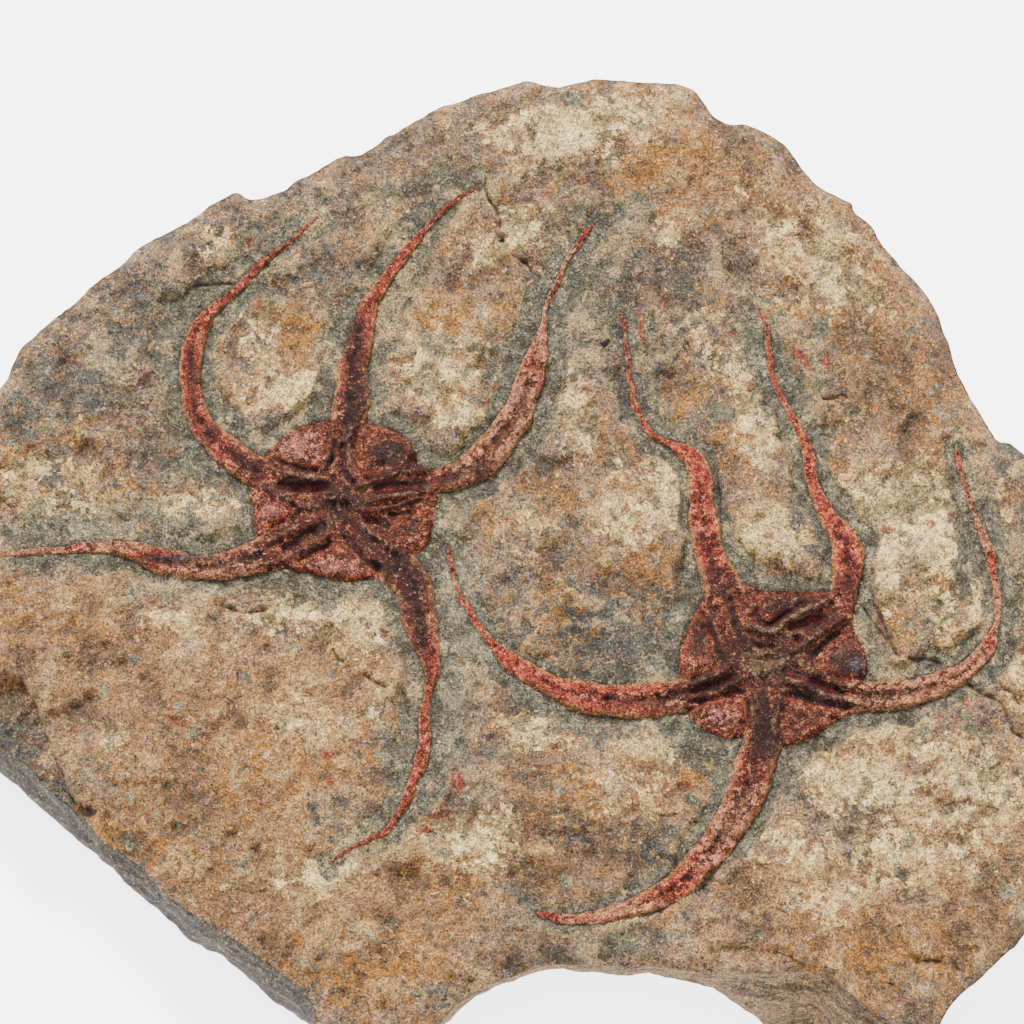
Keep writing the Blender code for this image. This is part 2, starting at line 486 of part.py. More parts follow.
def face_height(xy, rim):
    """Height of the slab's face, with the stars taken off."""
    mask = channel_mask(xy)
    height = FACE_Z - 1.3 * ((xy[:, 0] / 98) ** 2 + (xy[:, 1] / 89) ** 2) / 2
    height += 0.55 * rough(xy, 26, 1)
    relief = 0.45 * rough(xy, 9, 2)
    for x, y, length, width, turn, rise in SWELLINGS:
        relief += rise * mound(xy, x, y, length, width, turn)
    height += relief * (1 - 0.85 * mask) - CHANNEL * mask
    height -= bedding_steps(xy) * (1 - mask)
    height -= ROUND_EDGE * np.clip(1 + edge_distance(rim, xy) / ROUND_WIDTH, 0, 1) ** 2
    return height - np.minimum(broken_slope(xy), 14)


# ---- meshes

def new_object(name, verts, faces, colour, roughness):
    """A named object of one closed mesh, given in millimetres, with its own stone material."""
    mesh = bpy.data.meshes.new(name)
    mesh.from_pydata([tuple(float(c) * MM for c in v) for v in verts], [], faces)
    part = bpy.data.objects.new(name, mesh)
    bpy.context.collection.objects.link(part)
    work = bmesh.new()
    work.from_mesh(mesh)
    bmesh.ops.recalc_face_normals(work, faces=work.faces)
    work.to_mesh(mesh)
    work.free()
    material = bpy.data.materials.new(name)
    material.use_nodes = True
    shader = material.node_tree.nodes["Principled BSDF"]
    shader.inputs["Base Color"].default_value = (*colour, 1)
    shader.inputs["Roughness"].default_value = roughness
    shader.inputs["Metallic"].default_value = 0.0
    mesh.materials.append(material)
    return part


def triangulate(rings, extra):
    """Triangles over the first outline, with every outline kept as edges, and whether each triangle lies
    in one of the later outlines."""
    points = np.vstack([*rings, extra]) if len(extra) else np.vstack(rings)
    edges, regions, start = [], [], 0
    for ring in rings:
        count = len(ring)
        regions.append(list(range(start, start + count)))
        start += count
    result = delaunay_2d_cdt([tuple(map(float, p)) for p in points], edges, regions, 1, 1e-5)
    verts = np.array([tuple(v) for v in result[0]])
    faces = [tuple(f) for f in result[2]]
    within = [any(region > 0 for region in owner) for owner in result[5]]
    return verts, faces, within


def face_points(rim, rings):
    """Points over the open face on a loose triangular grid, with rows beside the ledges."""
    rng = np.random.default_rng(SEED)
    low, high = rim.min(0), rim.max(0)
    rows = []
    for j, y in enumerate(np.arange(low[1], high[1], GRID * 0.866)):
        for x in np.arange(low[0] + (j % 2) * GRID / 2, high[0], GRID):
            rows.append((x, y))
    points = np.array(rows) + rng.uniform(-0.18, 0.18, (len(rows), 2)) * GRID
    keep = edge_distance(rim, points) < -0.5 * GRID
    for ring in rings:
        keep &= edge_distance(ring, points) > 0.55 * GRID
    points = points[keep]
    steps = []
    for _, _, line in LEDGES:
        path = smooth_path(line, 3.2)
        beside = normals_of(path) * 0.2
        steps += [*(path + beside), *(path - beside)]
    top = smooth_path(SLOPE_TOP, 4.0)
    steps += [*top]
    steps = np.array(steps)
    keep = edge_distance(rim, steps) < -1.0
    for ring in rings:
        keep &= edge_distance(ring, steps) > 1.0
    steps = steps[keep]
    clear = np.array([np.hypot(*(steps - p).T).min() > 0.45 * GRID for p in points])
    return np.vstack([points[clear], steps])


def wall_rings(rim, inset, top):
    """The outlines of the slab's broken side at each level, from the face's rim down to the underside."""
    out = outward(np.vstack([rim[-1:], rim, rim[:1]]))[1:-1]
    rings = [np.column_stack([rim, top])]
    levels = [(0.62, 0.0, 0.9), (0.28, 0.25, 0.9), (0.0, 1.0, 0.25)]
    for k, (share, pull, bumps) in enumerate(levels):
        wave = bumps * rough(rim, 8, 20 + k) - 0.15
        plan = rim - out * (inset * pull - np.minimum(wave, 0))[:, None]
        rings.append(np.column_stack([plan, top * share]))
    return rings


def bridge(first, second, faces):
    """Quads as triangles between two rings of vertex numbers of equal length."""
    count = len(first)
    for i in range(count):
        j = (i + 1) % count
        faces.append((first[i], first[j], second[j]))
        faces.append((first[i], second[j], second[i]))


def make_slab():
    """The slab: face with channels, ledges and swellings, a recess for each star, broken sides, flat base."""
    around = smooth_path(OUTLINE, RIM_STEP, closed=True)[::-1]
    rim, inset = around[:, :2], around[:, 2]
    rings = [star_ring(star) for star in STARS]
    plan, faces, within = triangulate([rim, *rings], face_points(rim, rings))
    heights = face_height(plan, rim)
    verts = [(*p, z) for p, z in zip(plan, heights)]

    # the recesses: their floors are the triangles inside the stars' outlines, moved down
    seat = {}
    solid = []
    for face, sunk in zip(faces, within):
        if not sunk:
            solid.append(face)
            continue
        for v in face:
            if v not in seat:
                seat[v] = len(verts)
                verts.append((*plan[v], SEAT_Z))
        solid.append(tuple(seat[v] for v in face))
    for ring in rings:
        numbers = [int(np.hypot(*(plan - p).T).argmin()) for p in ring]
        bridge(numbers, [seat[v] for v in numbers], solid)

    # the sides and the underside
    top = [int(np.hypot(*(plan - p).T).argmin()) for p in rim]
    levels = wall_rings(rim, inset, heights[top])
    upper = top
    for ring in levels[1:]:
        lower = list(range(len(verts), len(verts) + len(ring)))
        verts += [tuple(p) for p in ring]
        bridge(upper, lower, solid)
        upper = lower
    base = levels[-1][:, :2]
    _, base_faces, _ = triangulate([base], [])
    solid += [tuple(upper[v] for v in face) for face in base_faces]
    return new_object("stone_slab", verts, solid, (0.36, 0.25, 0.16), 0.85)


def arm_rise(half):
    """Crown of an arm over the channel, for its half width."""
    return 0.35 + 0.42 * np.minimum(half, 2.8)


def make_arm(name, arm, rim):
    """One arm: a flat-bottomed bar with twin ridges along its top, which merge towards the tip."""
    path = arm_path(arm)
    step = np.linalg.norm(path[-1, :2] - path[-2, :2])
    path[-1] += (path[-2] - path[-1]) * (GAP / 2) / step
    across = np.array([1.0, 0.52, 0.0, -0.52, -1.0])
    crown = np.array([0.12, 1.0, 0.0, 1.0, 0.12])
    out = normals_of(path)
    base = face_height(path[:, :2], rim)
    verts, faces = [], []
    for i, (x, y, half) in enumerate(path):
        groove = 1.05 - 0.5 * soft(half / 2.4)
        for v, c in zip(across, crown):
            lift = arm_rise(half) * (groove if v == 0 else c)
            verts.append((x + out[i, 0] * v * half, y + out[i, 1] * v * half, base[i] + lift))
        for v in (-1.0, 1.0):
            verts.append((x + out[i, 0] * v * half, y + out[i, 1] * v * half, SEAT_Z + GAP))
    size = len(across) + 2
    for i in range(len(path) - 1):
        near = list(range(i * size, i * size + size))
        far = [n + size for n in near]
        bridge(near, far, faces)
    last = (len(path) - 1) * size
    for k in range(1, size - 1):
        faces.append((0, k, k + 1))
        faces.append((last, last + k + 1, last + k))
    return new_object(name, verts, faces, (0.25, 0.06, 0.045), 0.75)


def disc_height(star, xy, rim):
    """Height of a disc: domed fields, twin ridges running in from the arms, slits beside them, the mouth."""
    inset = -edge_distance(disc_ring(star), xy)
    ribs = np.zeros(len(xy))
    near = np.full(len(xy), 99.0)
    for arm in star["arms"]:
        gap, _, _, half = along(smooth_path(arm["rib"], DISC_GRID), xy)
        ridge = np.exp(-(((gap / half - 0.6) / 0.36) ** 2))
        ribs = np.maximum(ribs, ridge)
        near = np.minimum(near, gap - half)
    height = face_height(xy, rim) + DISC_RISE * np.maximum(soft(inset / 0.8 + 0.3), ribs)
    height += RIB_RISE * ribs + FIELD_DOME * soft(near / 2.5)
    mouth_x, mouth_y, mouth_r = star["mouth"]
    hollow = mound(xy, mouth_x, mouth_y, mouth_r, mouth_r, 0)
    for x, y, length, width, turn in star["slits"]:
        hollow = np.maximum(hollow, mound(xy, x, y, length, width, turn))
    return height - SLIT_DEPTH * hollow


def disc_points(star, ring):
    """Points over a disc: lines along the ribs' ridges, grooves and feet, then a loose grid on the fields."""
    lines = []
    for arm in star["arms"]:
        path = smooth_path(arm["rib"], DISC_GRID)[:-1]
        side = normals_of(path)
        for v in (0.0, -0.6, 0.6, -1.2, 1.2):
            for p in path[:, :2] + side * (path[:, 2:3] * v):
                if not lines or np.hypot(*(np.array(lines) - p).T).min() > 0.36 * DISC_GRID:
                    lines.append(p)
    low, high = ring.min(0), ring.max(0)
    for j, y in enumerate(np.arange(low[1], high[1], DISC_GRID * 0.8)):
        for x in np.arange(low[0] + (j % 2) * DISC_GRID / 2, high[0], DISC_GRID):
            if np.hypot(*(np.array(lines) - (x, y)).T).min() > 0.7 * DISC_GRID:
                lines.append(np.array([x, y]))
    points = np.array(lines)
    return points[edge_distance(ring, points) < -0.35 * DISC_GRID]


def make_disc(star, rim):
    """One disc: a flat-bottomed plate with the relief of the mouth side on top."""
    ring = disc_ring(star)
    plan, faces, _ = triangulate([ring], disc_points(star, ring))
    heights = disc_height(star, plan, rim)
    verts = [(*p, z) for p, z in zip(plan, heights)]
    upper = [int(np.hypot(*(plan - p).T).argmin()) for p in ring]
    lower = list(range(len(verts), len(verts) + len(ring)))
    verts += [(*p, SEAT_Z + GAP) for p in ring]
    bridge(upper, lower, faces)
    _, base_faces, _ = triangulate([ring], [])
    faces += [tuple(lower[v] for v in face) for face in base_faces]
    return new_object(star["name"] + "_disc", verts, faces, (0.17, 0.05, 0.045), 0.75)


def clear_scene():
    """Remove whatever the file opened with."""
    for thing in list(bpy.data.objects):
        bpy.data.objects.remove(thing, do_unlink=True)


def main():
    clear_scene()
    rim = smooth_path(OUTLINE, RIM_STEP, closed=True)[::-1, :2]
    make_slab()
    for star in STARS:
        make_disc(star, rim)
        for i, arm in enumerate(star["arms"]):
            make_arm(f"{star['name']}_arm_{i + 1}", arm, rim)


main()
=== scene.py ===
"""Looks of the brittle-star fossil slab.

The slab of siltstone is one closed, finely shaped piece: its mottled face with the channels round the two
stars, its broken sides and its back. Each star is a disc and five arms of iron-red fossil, which stand
proud of their channel and sink into the stone at their edges.

Plans, heights and patterns are in millimetres until a mesh is written, in metres, about the bottom centre
of the slab: +X to the right, +Y to the top of the slab and +Z out of its face.
"""

import math

import bpy
import numpy as np
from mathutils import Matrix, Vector
from mathutils.geometry import delaunay_2d_cdt


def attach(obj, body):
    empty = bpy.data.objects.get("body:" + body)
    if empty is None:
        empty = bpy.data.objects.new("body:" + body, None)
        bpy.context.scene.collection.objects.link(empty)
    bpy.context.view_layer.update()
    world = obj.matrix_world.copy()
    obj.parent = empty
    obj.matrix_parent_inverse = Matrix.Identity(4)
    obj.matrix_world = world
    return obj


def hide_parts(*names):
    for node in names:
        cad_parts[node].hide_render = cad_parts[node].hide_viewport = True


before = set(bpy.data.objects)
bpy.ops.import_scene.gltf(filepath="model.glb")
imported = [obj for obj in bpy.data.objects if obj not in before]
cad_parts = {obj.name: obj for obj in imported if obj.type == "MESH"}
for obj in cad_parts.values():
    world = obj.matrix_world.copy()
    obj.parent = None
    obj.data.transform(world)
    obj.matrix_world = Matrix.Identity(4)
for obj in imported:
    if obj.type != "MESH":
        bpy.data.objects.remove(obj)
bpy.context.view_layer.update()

MM = 0.001  # metres in a millimetre

# ---- main sizes, mm
FACE_Z = 24.0  # height of the slab's face over its underside
TOP = 25.8  # height of the highest swelling
HALF_LENGTH, HALF_WIDTH = 98, 89  # of the whole slab, about
CHANNEL = 0.9  # depth of the channel round a star
CHANNEL_WALL = 0.9  # width over which the channel's edge falls
DISC_HALO = 3.0  # width of the channel round a disc
UNDER_STAR = 1.6  # how much lower the stone lies under the stars, and how far their pieces reach down
LEAN = 3.0  # how far the lower left side stands out below the face
ROUND_EDGE = 1.7  # how far the face falls at the slab's rim
ROUND_WIDTH = 6.0  # width over which it falls
SLOPE = 1.6  # fall per millimetre of the broken slope at the lower right
SLOPE_DEPTH = 14  # how far down the slope goes

# ---- relief of the face, mm: height, and the distance across one bump
DOME = 0.65  # fall of the whole face from its middle to its ends
SWELLS = 0.55, 26
HUMPS = 0.45, 9
CRAGS = 0.55, 5.5
CREASES = 0.55, 7
GRIT = 0.3, 2.6
FLAKE = 0.42  # thickness of one flake of the bedding
FLAKE_EDGE = 0.15  # the share of a flake's width in which its edge falls
BED = 0.45, 1.5  # layering of the sides
RIB = 0.8, 1.7  # layering of the broken slope
SIDE_FLAKES = 0.9, 8
RIM_CHIPS = 0.5, 5
BACK_HOLLOWS = 0.35, 9

# ---- how edges stray, mm: how far, and the distance across one bend
OUTLINE_TEARS = 0.4, 5
CHANNEL_BENDS = 1.0, 5
CHANNEL_TEARS = 0.8, 2.6
STAIN_TEARS = 1.6, 6  # on the stone
TONE_TEARS = 0.7, 6  # on the fossil
JOINT_BENDS = 0.35, 1.6
DISC_BENDS = 0.2, 1.8
ARM_BENDS = 0.10, 2.3  # as a share of the arm's width
ARM_TEARS = 0.13, 0.9

# ---- relief of the stars, mm
JOINT = 1.35  # length of one segment of an arm
FIELD_RISE = 0.85  # height of a disc's fields
SEAM = 2.6  # distance over which an arm's relief runs on into the disc
DARK_ROOT = 7  # length over which an arm darkens towards the disc
STAR_PITS = 0.2, 1.5  # height, and the distance across one bump
STAR_KNOBS = 0.14, 3.4

# ---- mesh sizes, mm
FACE_GRID = 0.62  # spacing of the face's points
RIM_STEP = 0.9  # spacing of points round the slab's outline
SIDE_LEVELS = 17  # rows of faces down the slab's side
BACK_GRID = 2.6  # spacing of the back's points
ARM_STEP = 0.36  # spacing of stations along an arm
ARM_COLUMNS = 17  # points across the top of an arm
DISC_GRID = 0.3  # spacing of a disc's points
PATCH = 12  # side of the squares in which points near an outline are looked for
ROW = 0.866  # distance between the rows of a triangular grid, in spacings
AT_ONCE = 5000  # points measured against a path at a time
NOISE_CELLS = 64  # cells of a noise's table, each way
SEED = 11  # of the random draws; each noise and each grid adds a number of its own

# ---- camera and light
CAMERA_TILT = 12.0  # degrees from straight overhead
CAMERA_DISTANCE = 0.75  # metres from the aim
AIM = (4.4, 12.6, 24.0)  # mm
FOCAL_LENGTH = 158.2  # mm
SENSOR = 36  # width of the camera's sensor, mm
KEY_FROM = (-0.35, 0.95, 0.7)  # where the key light comes from
KEY_STRENGTH = 10.6  # strong enough to draw the relief
KEY_SOFTNESS = 14.0  # degrees across: shadows with soft edges
SURROUND_STRENGTH = 1.7  # fills the shadows evenly
FLOOR_GLOW = 3.4  # the floor is a white light table
FLOOR_REACH = 3.0  # metres from its middle to its edges

# Outline of the slab at its widest, clockwise from the left end: x, y, and how far the underside's edge
# lies inside it.
OUTLINE = [
    (-97.7, -7, 4), (-97.4, 1, 4), (-95.8, 9, 4), (-93, 17, 4), (-89.5, 24, 3.5), (-85.5, 30, 3),
    (-81.6, 35.8, 3), (-78.4, 41.5, 3), (-73.1, 46.5, 3), (-67.7, 51.7, 3), (-61.7, 56.8, 3),
    (-55.7, 61.9, 3), (-49.1, 65.4, 3), (-42.6, 68.8, 3), (-40.2, 67.7, 3), (-37, 68.4, 3),
    (-29.9, 72.1, 3), (-25.5, 74.9, 3), (-19.9, 76.9, 3), (-15.5, 80, 3), (-7.7, 84.5, 3),
    (-0.5, 86.8, 3), (6.6, 88.8, 3), (11.6, 88, 3), (19.4, 89, 3), (29, 88.5, 3), (34.4, 87.7, 3),
    (37.3, 84.5, 3), (39.5, 81.9, 3), (44.4, 80.8, 3), (50.5, 77.6, 3), (54.3, 72.6, 3),
    (58.7, 68.6, 3), (62.2, 67, 3), (63, 65, 3), (65.7, 62.6, 3), (69, 57.7, 3), (72.8, 53.3, 3),
    (76.6, 47.2, 3), (78.2, 43.7, 3), (78.9, 39.8, 3), (81.2, 34, 3), (84.6, 27.6, 3), (86.1, 25.5, 3),
    (88.4, 25.2, 3), (91, 22.8, 4), (94.2, 18.5, 4), (96.5, 12, 5), (97.5, 3, 5), (97.7, -8, 5),
    (97, -20, 5), (95.9, -30, 5), (94.4, -40, 5), (92.2, -48.5, 5), (88.4, -58.6, 6), (84.5, -62, 6),
    (81.2, -65.2, 6), (78, -68, 6), (75.1, -72.4, 6), (73.6, -78, 5), (71.8, -84, 4), (68.5, -88, 3),
    (63.5, -88.4, 3), (58, -85, 2), (52.8, -80, 2), (48.6, -75, 1.5), (45.5, -70.5, 1), (42.8, -68.6, 1),
    (39.5, -66.3, 1), (36.1, -64.8, 1), (28.6, -63.4, 1), (22.5, -63.5, 1), (17, -63, 1),
    (11.5, -63, 1), (4.4, -65, 1), (0.7, -66.8, 1), (-3.8, -68.6, 1), (-6.3, -71.5, 1.5),
    (-9, -75.2, 2.5), (-13, -78, 3), (-18, -78.8, 3), (-23.5, -77, 2.5), (-28, -73.7, 1.5),
    (-32.3, -70, 1), (-39.9, -63.7, 1), (-44.5, -60.5, 1), (-49, -57.6, 1), (-55.3, -52.4, 1),
    (-60.9, -47.8, 1), (-67.1, -42.4, 1), (-71.1, -38.6, 1.5), (-74.5, -35.2, 2), (-79.5, -31.2, 2),
    (-84, -27.6, 3), (-90, -22.2, 4), (-94.8, -15.5, 4),
]

# The arms run from tip to disc: x, y, half width. Halo: place along the arm from 0 at the tip to 1 at
# the disc, and the channel's width on the arm's left and right. Rib: the arm's twin ridges crossing
# the disc, from its edge to the mouth. Web: the disc's edge from this arm to the next one anticlockwise.
# Tables go anticlockwise round each star, from the arm that leaves to the right.
LEFT_STAR = {
    "name": "left_star",
    "deep": 0.5,
    "arms": [
        {
            "path": [
                (18.4, 62.9, 0.4), (16.7, 60.9, 0.6), (15.1, 58.5, 0.55), (13.7, 56.3, 0.5),
                (12.7, 54.1, 0.45), (11.8, 51.6, 0.5), (10.6, 49.4, 0.45), (10, 47.4, 0.4),
                (9.8, 45.5, 0.6), (9.4, 43.5, 1.0), (8.9, 41.4, 1.5), (8.5, 39.4, 1.95),
                (8.1, 37.5, 2.15), (7.5, 35.5, 2.3), (6.7, 33.6, 2.35), (5.8, 31.4, 2.4),
                (4.8, 29, 2.7), (3.2, 26.4, 2.9), (1, 23.4, 3.0), (-1.4, 20.9, 2.9),
                (-4.6, 19, 2.4), (-7.8, 18.2, 2.1),
            ],
            "halo": [
                (0, 3, 2.2), (0.15, 4.2, 2.6), (0.3, 5, 3.4), (0.42, 4, 4), (0.55, 3.3, 3.6),
                (0.75, 3.5, 2.4), (1, 3, 2),
            ],
            "rib": [(-7.8, 18.2, 2.1), (-12, 17.3, 2), (-16.5, 16.9, 1.9), (-21, 15.4, 1.5)],
            "web": [(-11, 21), (-11.5, 23.3), (-13.4, 25.6), (-16, 27.2)],
        },
        {
            "path": [
                (-1.2, 69.6, 0.35), (-2.3, 68.7, 0.4), (-4.7, 67.2, 0.45), (-7.1, 65.4, 0.45),
                (-9, 63.4, 0.5), (-10.9, 61, 0.65), (-12.8, 58.6, 0.9), (-14.7, 55.9, 0.95),
                (-16.4, 53.7, 1.05), (-17.8, 51.5, 1.2), (-19.2, 49.4, 1.4), (-19.9, 47.6, 1.7),
                (-20.4, 45.4, 1.9), (-21, 43, 2.1), (-21.7, 40, 2.3), (-22.1, 38.1, 2.4),
                (-22.3, 36.2, 2.5), (-22.5, 32.4, 2.95), (-22.9, 28.6, 3.1),
            ],
            "halo": [
                (0, 1.2, 2.5), (0.15, 1.8, 3.2), (0.35, 2.6, 3.6), (0.5, 5, 2.6), (0.65, 4.5, 2.8),
                (0.8, 4, 3.6), (1, 3.4, 3.6),
            ],
            "rib": [(-22.9, 28.6, 3), (-23.4, 25, 2.4), (-23.9, 21.5, 2), (-24.1, 17.5, 1.7)],
            "web": [(-28.5, 28.2), (-31.2, 27.4), (-33.7, 25.9), (-35.6, 24.2)],
        },
        {
            "path": [
                (-28.4, 63.8, 0.35), (-30.1, 62.4, 0.4), (-31.7, 60.9, 0.5), (-33.5, 59.2, 0.45),
                (-35.4, 57.9, 0.5), (-37, 56.5, 0.6), (-38.7, 54.9, 0.7), (-40, 53.3, 0.75),
                (-41.7, 51.5, 0.75), (-43.4, 50, 0.75), (-44.8, 48.9, 0.85), (-46.5, 47.3, 1.2),
                (-47.6, 45.6, 1.5), (-48.6, 43.8, 1.65), (-49.2, 41.5, 1.8), (-49.6, 39.2, 1.95),
                (-49.7, 36.6, 1.85), (-49.6, 35, 1.7), (-49.2, 32.2, 1.75), (-48.7, 30.3, 1.85),
                (-47.8, 28.3, 2.0), (-46.5, 26.3, 2.3), (-44.9, 24.6, 2.45), (-42.6, 22.6, 2.6),
                (-38.9, 20, 2.75),
            ],
            "halo": [
                (0, 2.2, 3.2), (0.2, 2.2, 2.6), (0.36, 2.6, 5), (0.5, 2.4, 5.5), (0.62, 2.2, 4),
                (0.75, 3.4, 3), (1, 3.5, 2.5),
            ],
            "rib": [(-38.9, 20, 2.7), (-35, 18.1, 2.2), (-31, 17.1, 2), (-26.8, 15.6, 1.6)],
            "web": [(-39.4, 15.8), (-39, 13), (-38.8, 10.2)],
        },
        {
            "path": [
                (-88, 6.1, 0.4), (-85, 5.8, 0.5), (-82, 5.7, 0.55), (-79.7, 5.8, 0.6), (-77.1, 6, 0.6),
                (-74.6, 6.3, 0.6), (-72, 6.4, 0.65), (-69.5, 6.6, 0.75), (-67, 6.95, 0.85),
                (-64, 6.85, 0.95), (-62.2, 6.8, 1.15), (-60.1, 6.5, 1.5), (-58, 6.1, 1.8),
                (-55.8, 5.1, 2), (-53.7, 4.5, 2.1), (-51.1, 4.1, 2.1), (-48.4, 3.5, 2.15),
                (-46.2, 3.4, 2.2), (-44, 3.6, 2.4), (-41, 4.3, 2.7), (-37.7, 5.2, 3.0),
            ],
            "halo": [
                (0, 4.5, 2.5), (0.35, 4.8, 3), (0.5, 4, 3), (0.62, 2, 2.4), (0.8, 3.2, 2.2), (1, 4, 2.4),
            ],
            "rib": [(-37.7, 5.2, 2.9), (-34, 7.3, 2.5), (-30.5, 9.6, 2), (-27, 12, 1.6)],
            "web": [(-33, 2.7), (-30, 2.2), (-27, 1.5), (-24, 0.9), (-20.8, 0.9)],
        },
        {
            "path": [
                (-25.4, -45.9, 0.35), (-22.1, -43.7, 0.35), (-20.9, -43, 0.4), (-18.9, -42.1, 0.45),
                (-16.8, -41.2, 0.5), (-15.6, -40, 0.5), (-14.9, -38.8, 0.5), (-13.6, -37, 0.6),
                (-13, -35.6, 0.8), (-12.4, -34.2, 0.85), (-12, -32.6, 0.7), (-11.3, -31.2, 0.95),
                (-10.7, -29.3, 1.2), (-10.2, -27.2, 1.1), (-10, -25.6, 1.05), (-10, -23.5, 1),
                (-10.1, -21.3, 0.85), (-9.7, -19.2, 0.65), (-9.3, -17, 0.75), (-8.8, -14.9, 1.25),
                (-9, -12.8, 1.5), (-9.6, -10.6, 2), (-10.2, -8.5, 2.5), (-10.7, -6.3, 2.9),
                (-11.1, -4.2, 3), (-11.6, -2, 3.2), (-12.4, 0.3, 3.3), (-14.4, 3.05, 3.4),
            ],
            "halo": [
                (0, 1.5, 2), (0.15, 2.5, 2.4), (0.3, 2.8, 3.4), (0.45, 3.5, 4.2), (0.6, 4.3, 4.5),
                (0.75, 2.8, 4.5), (1, 2.6, 4),
            ],
            "rib": [(-14.4, 3.05, 3.3), (-16.6, 6, 2.7), (-19.4, 9.3, 2.2), (-21.8, 11.8, 1.6)],
            "web": [(-9.6, 7), (-8.6, 10), (-8.1, 13)],
        },
    ],
}

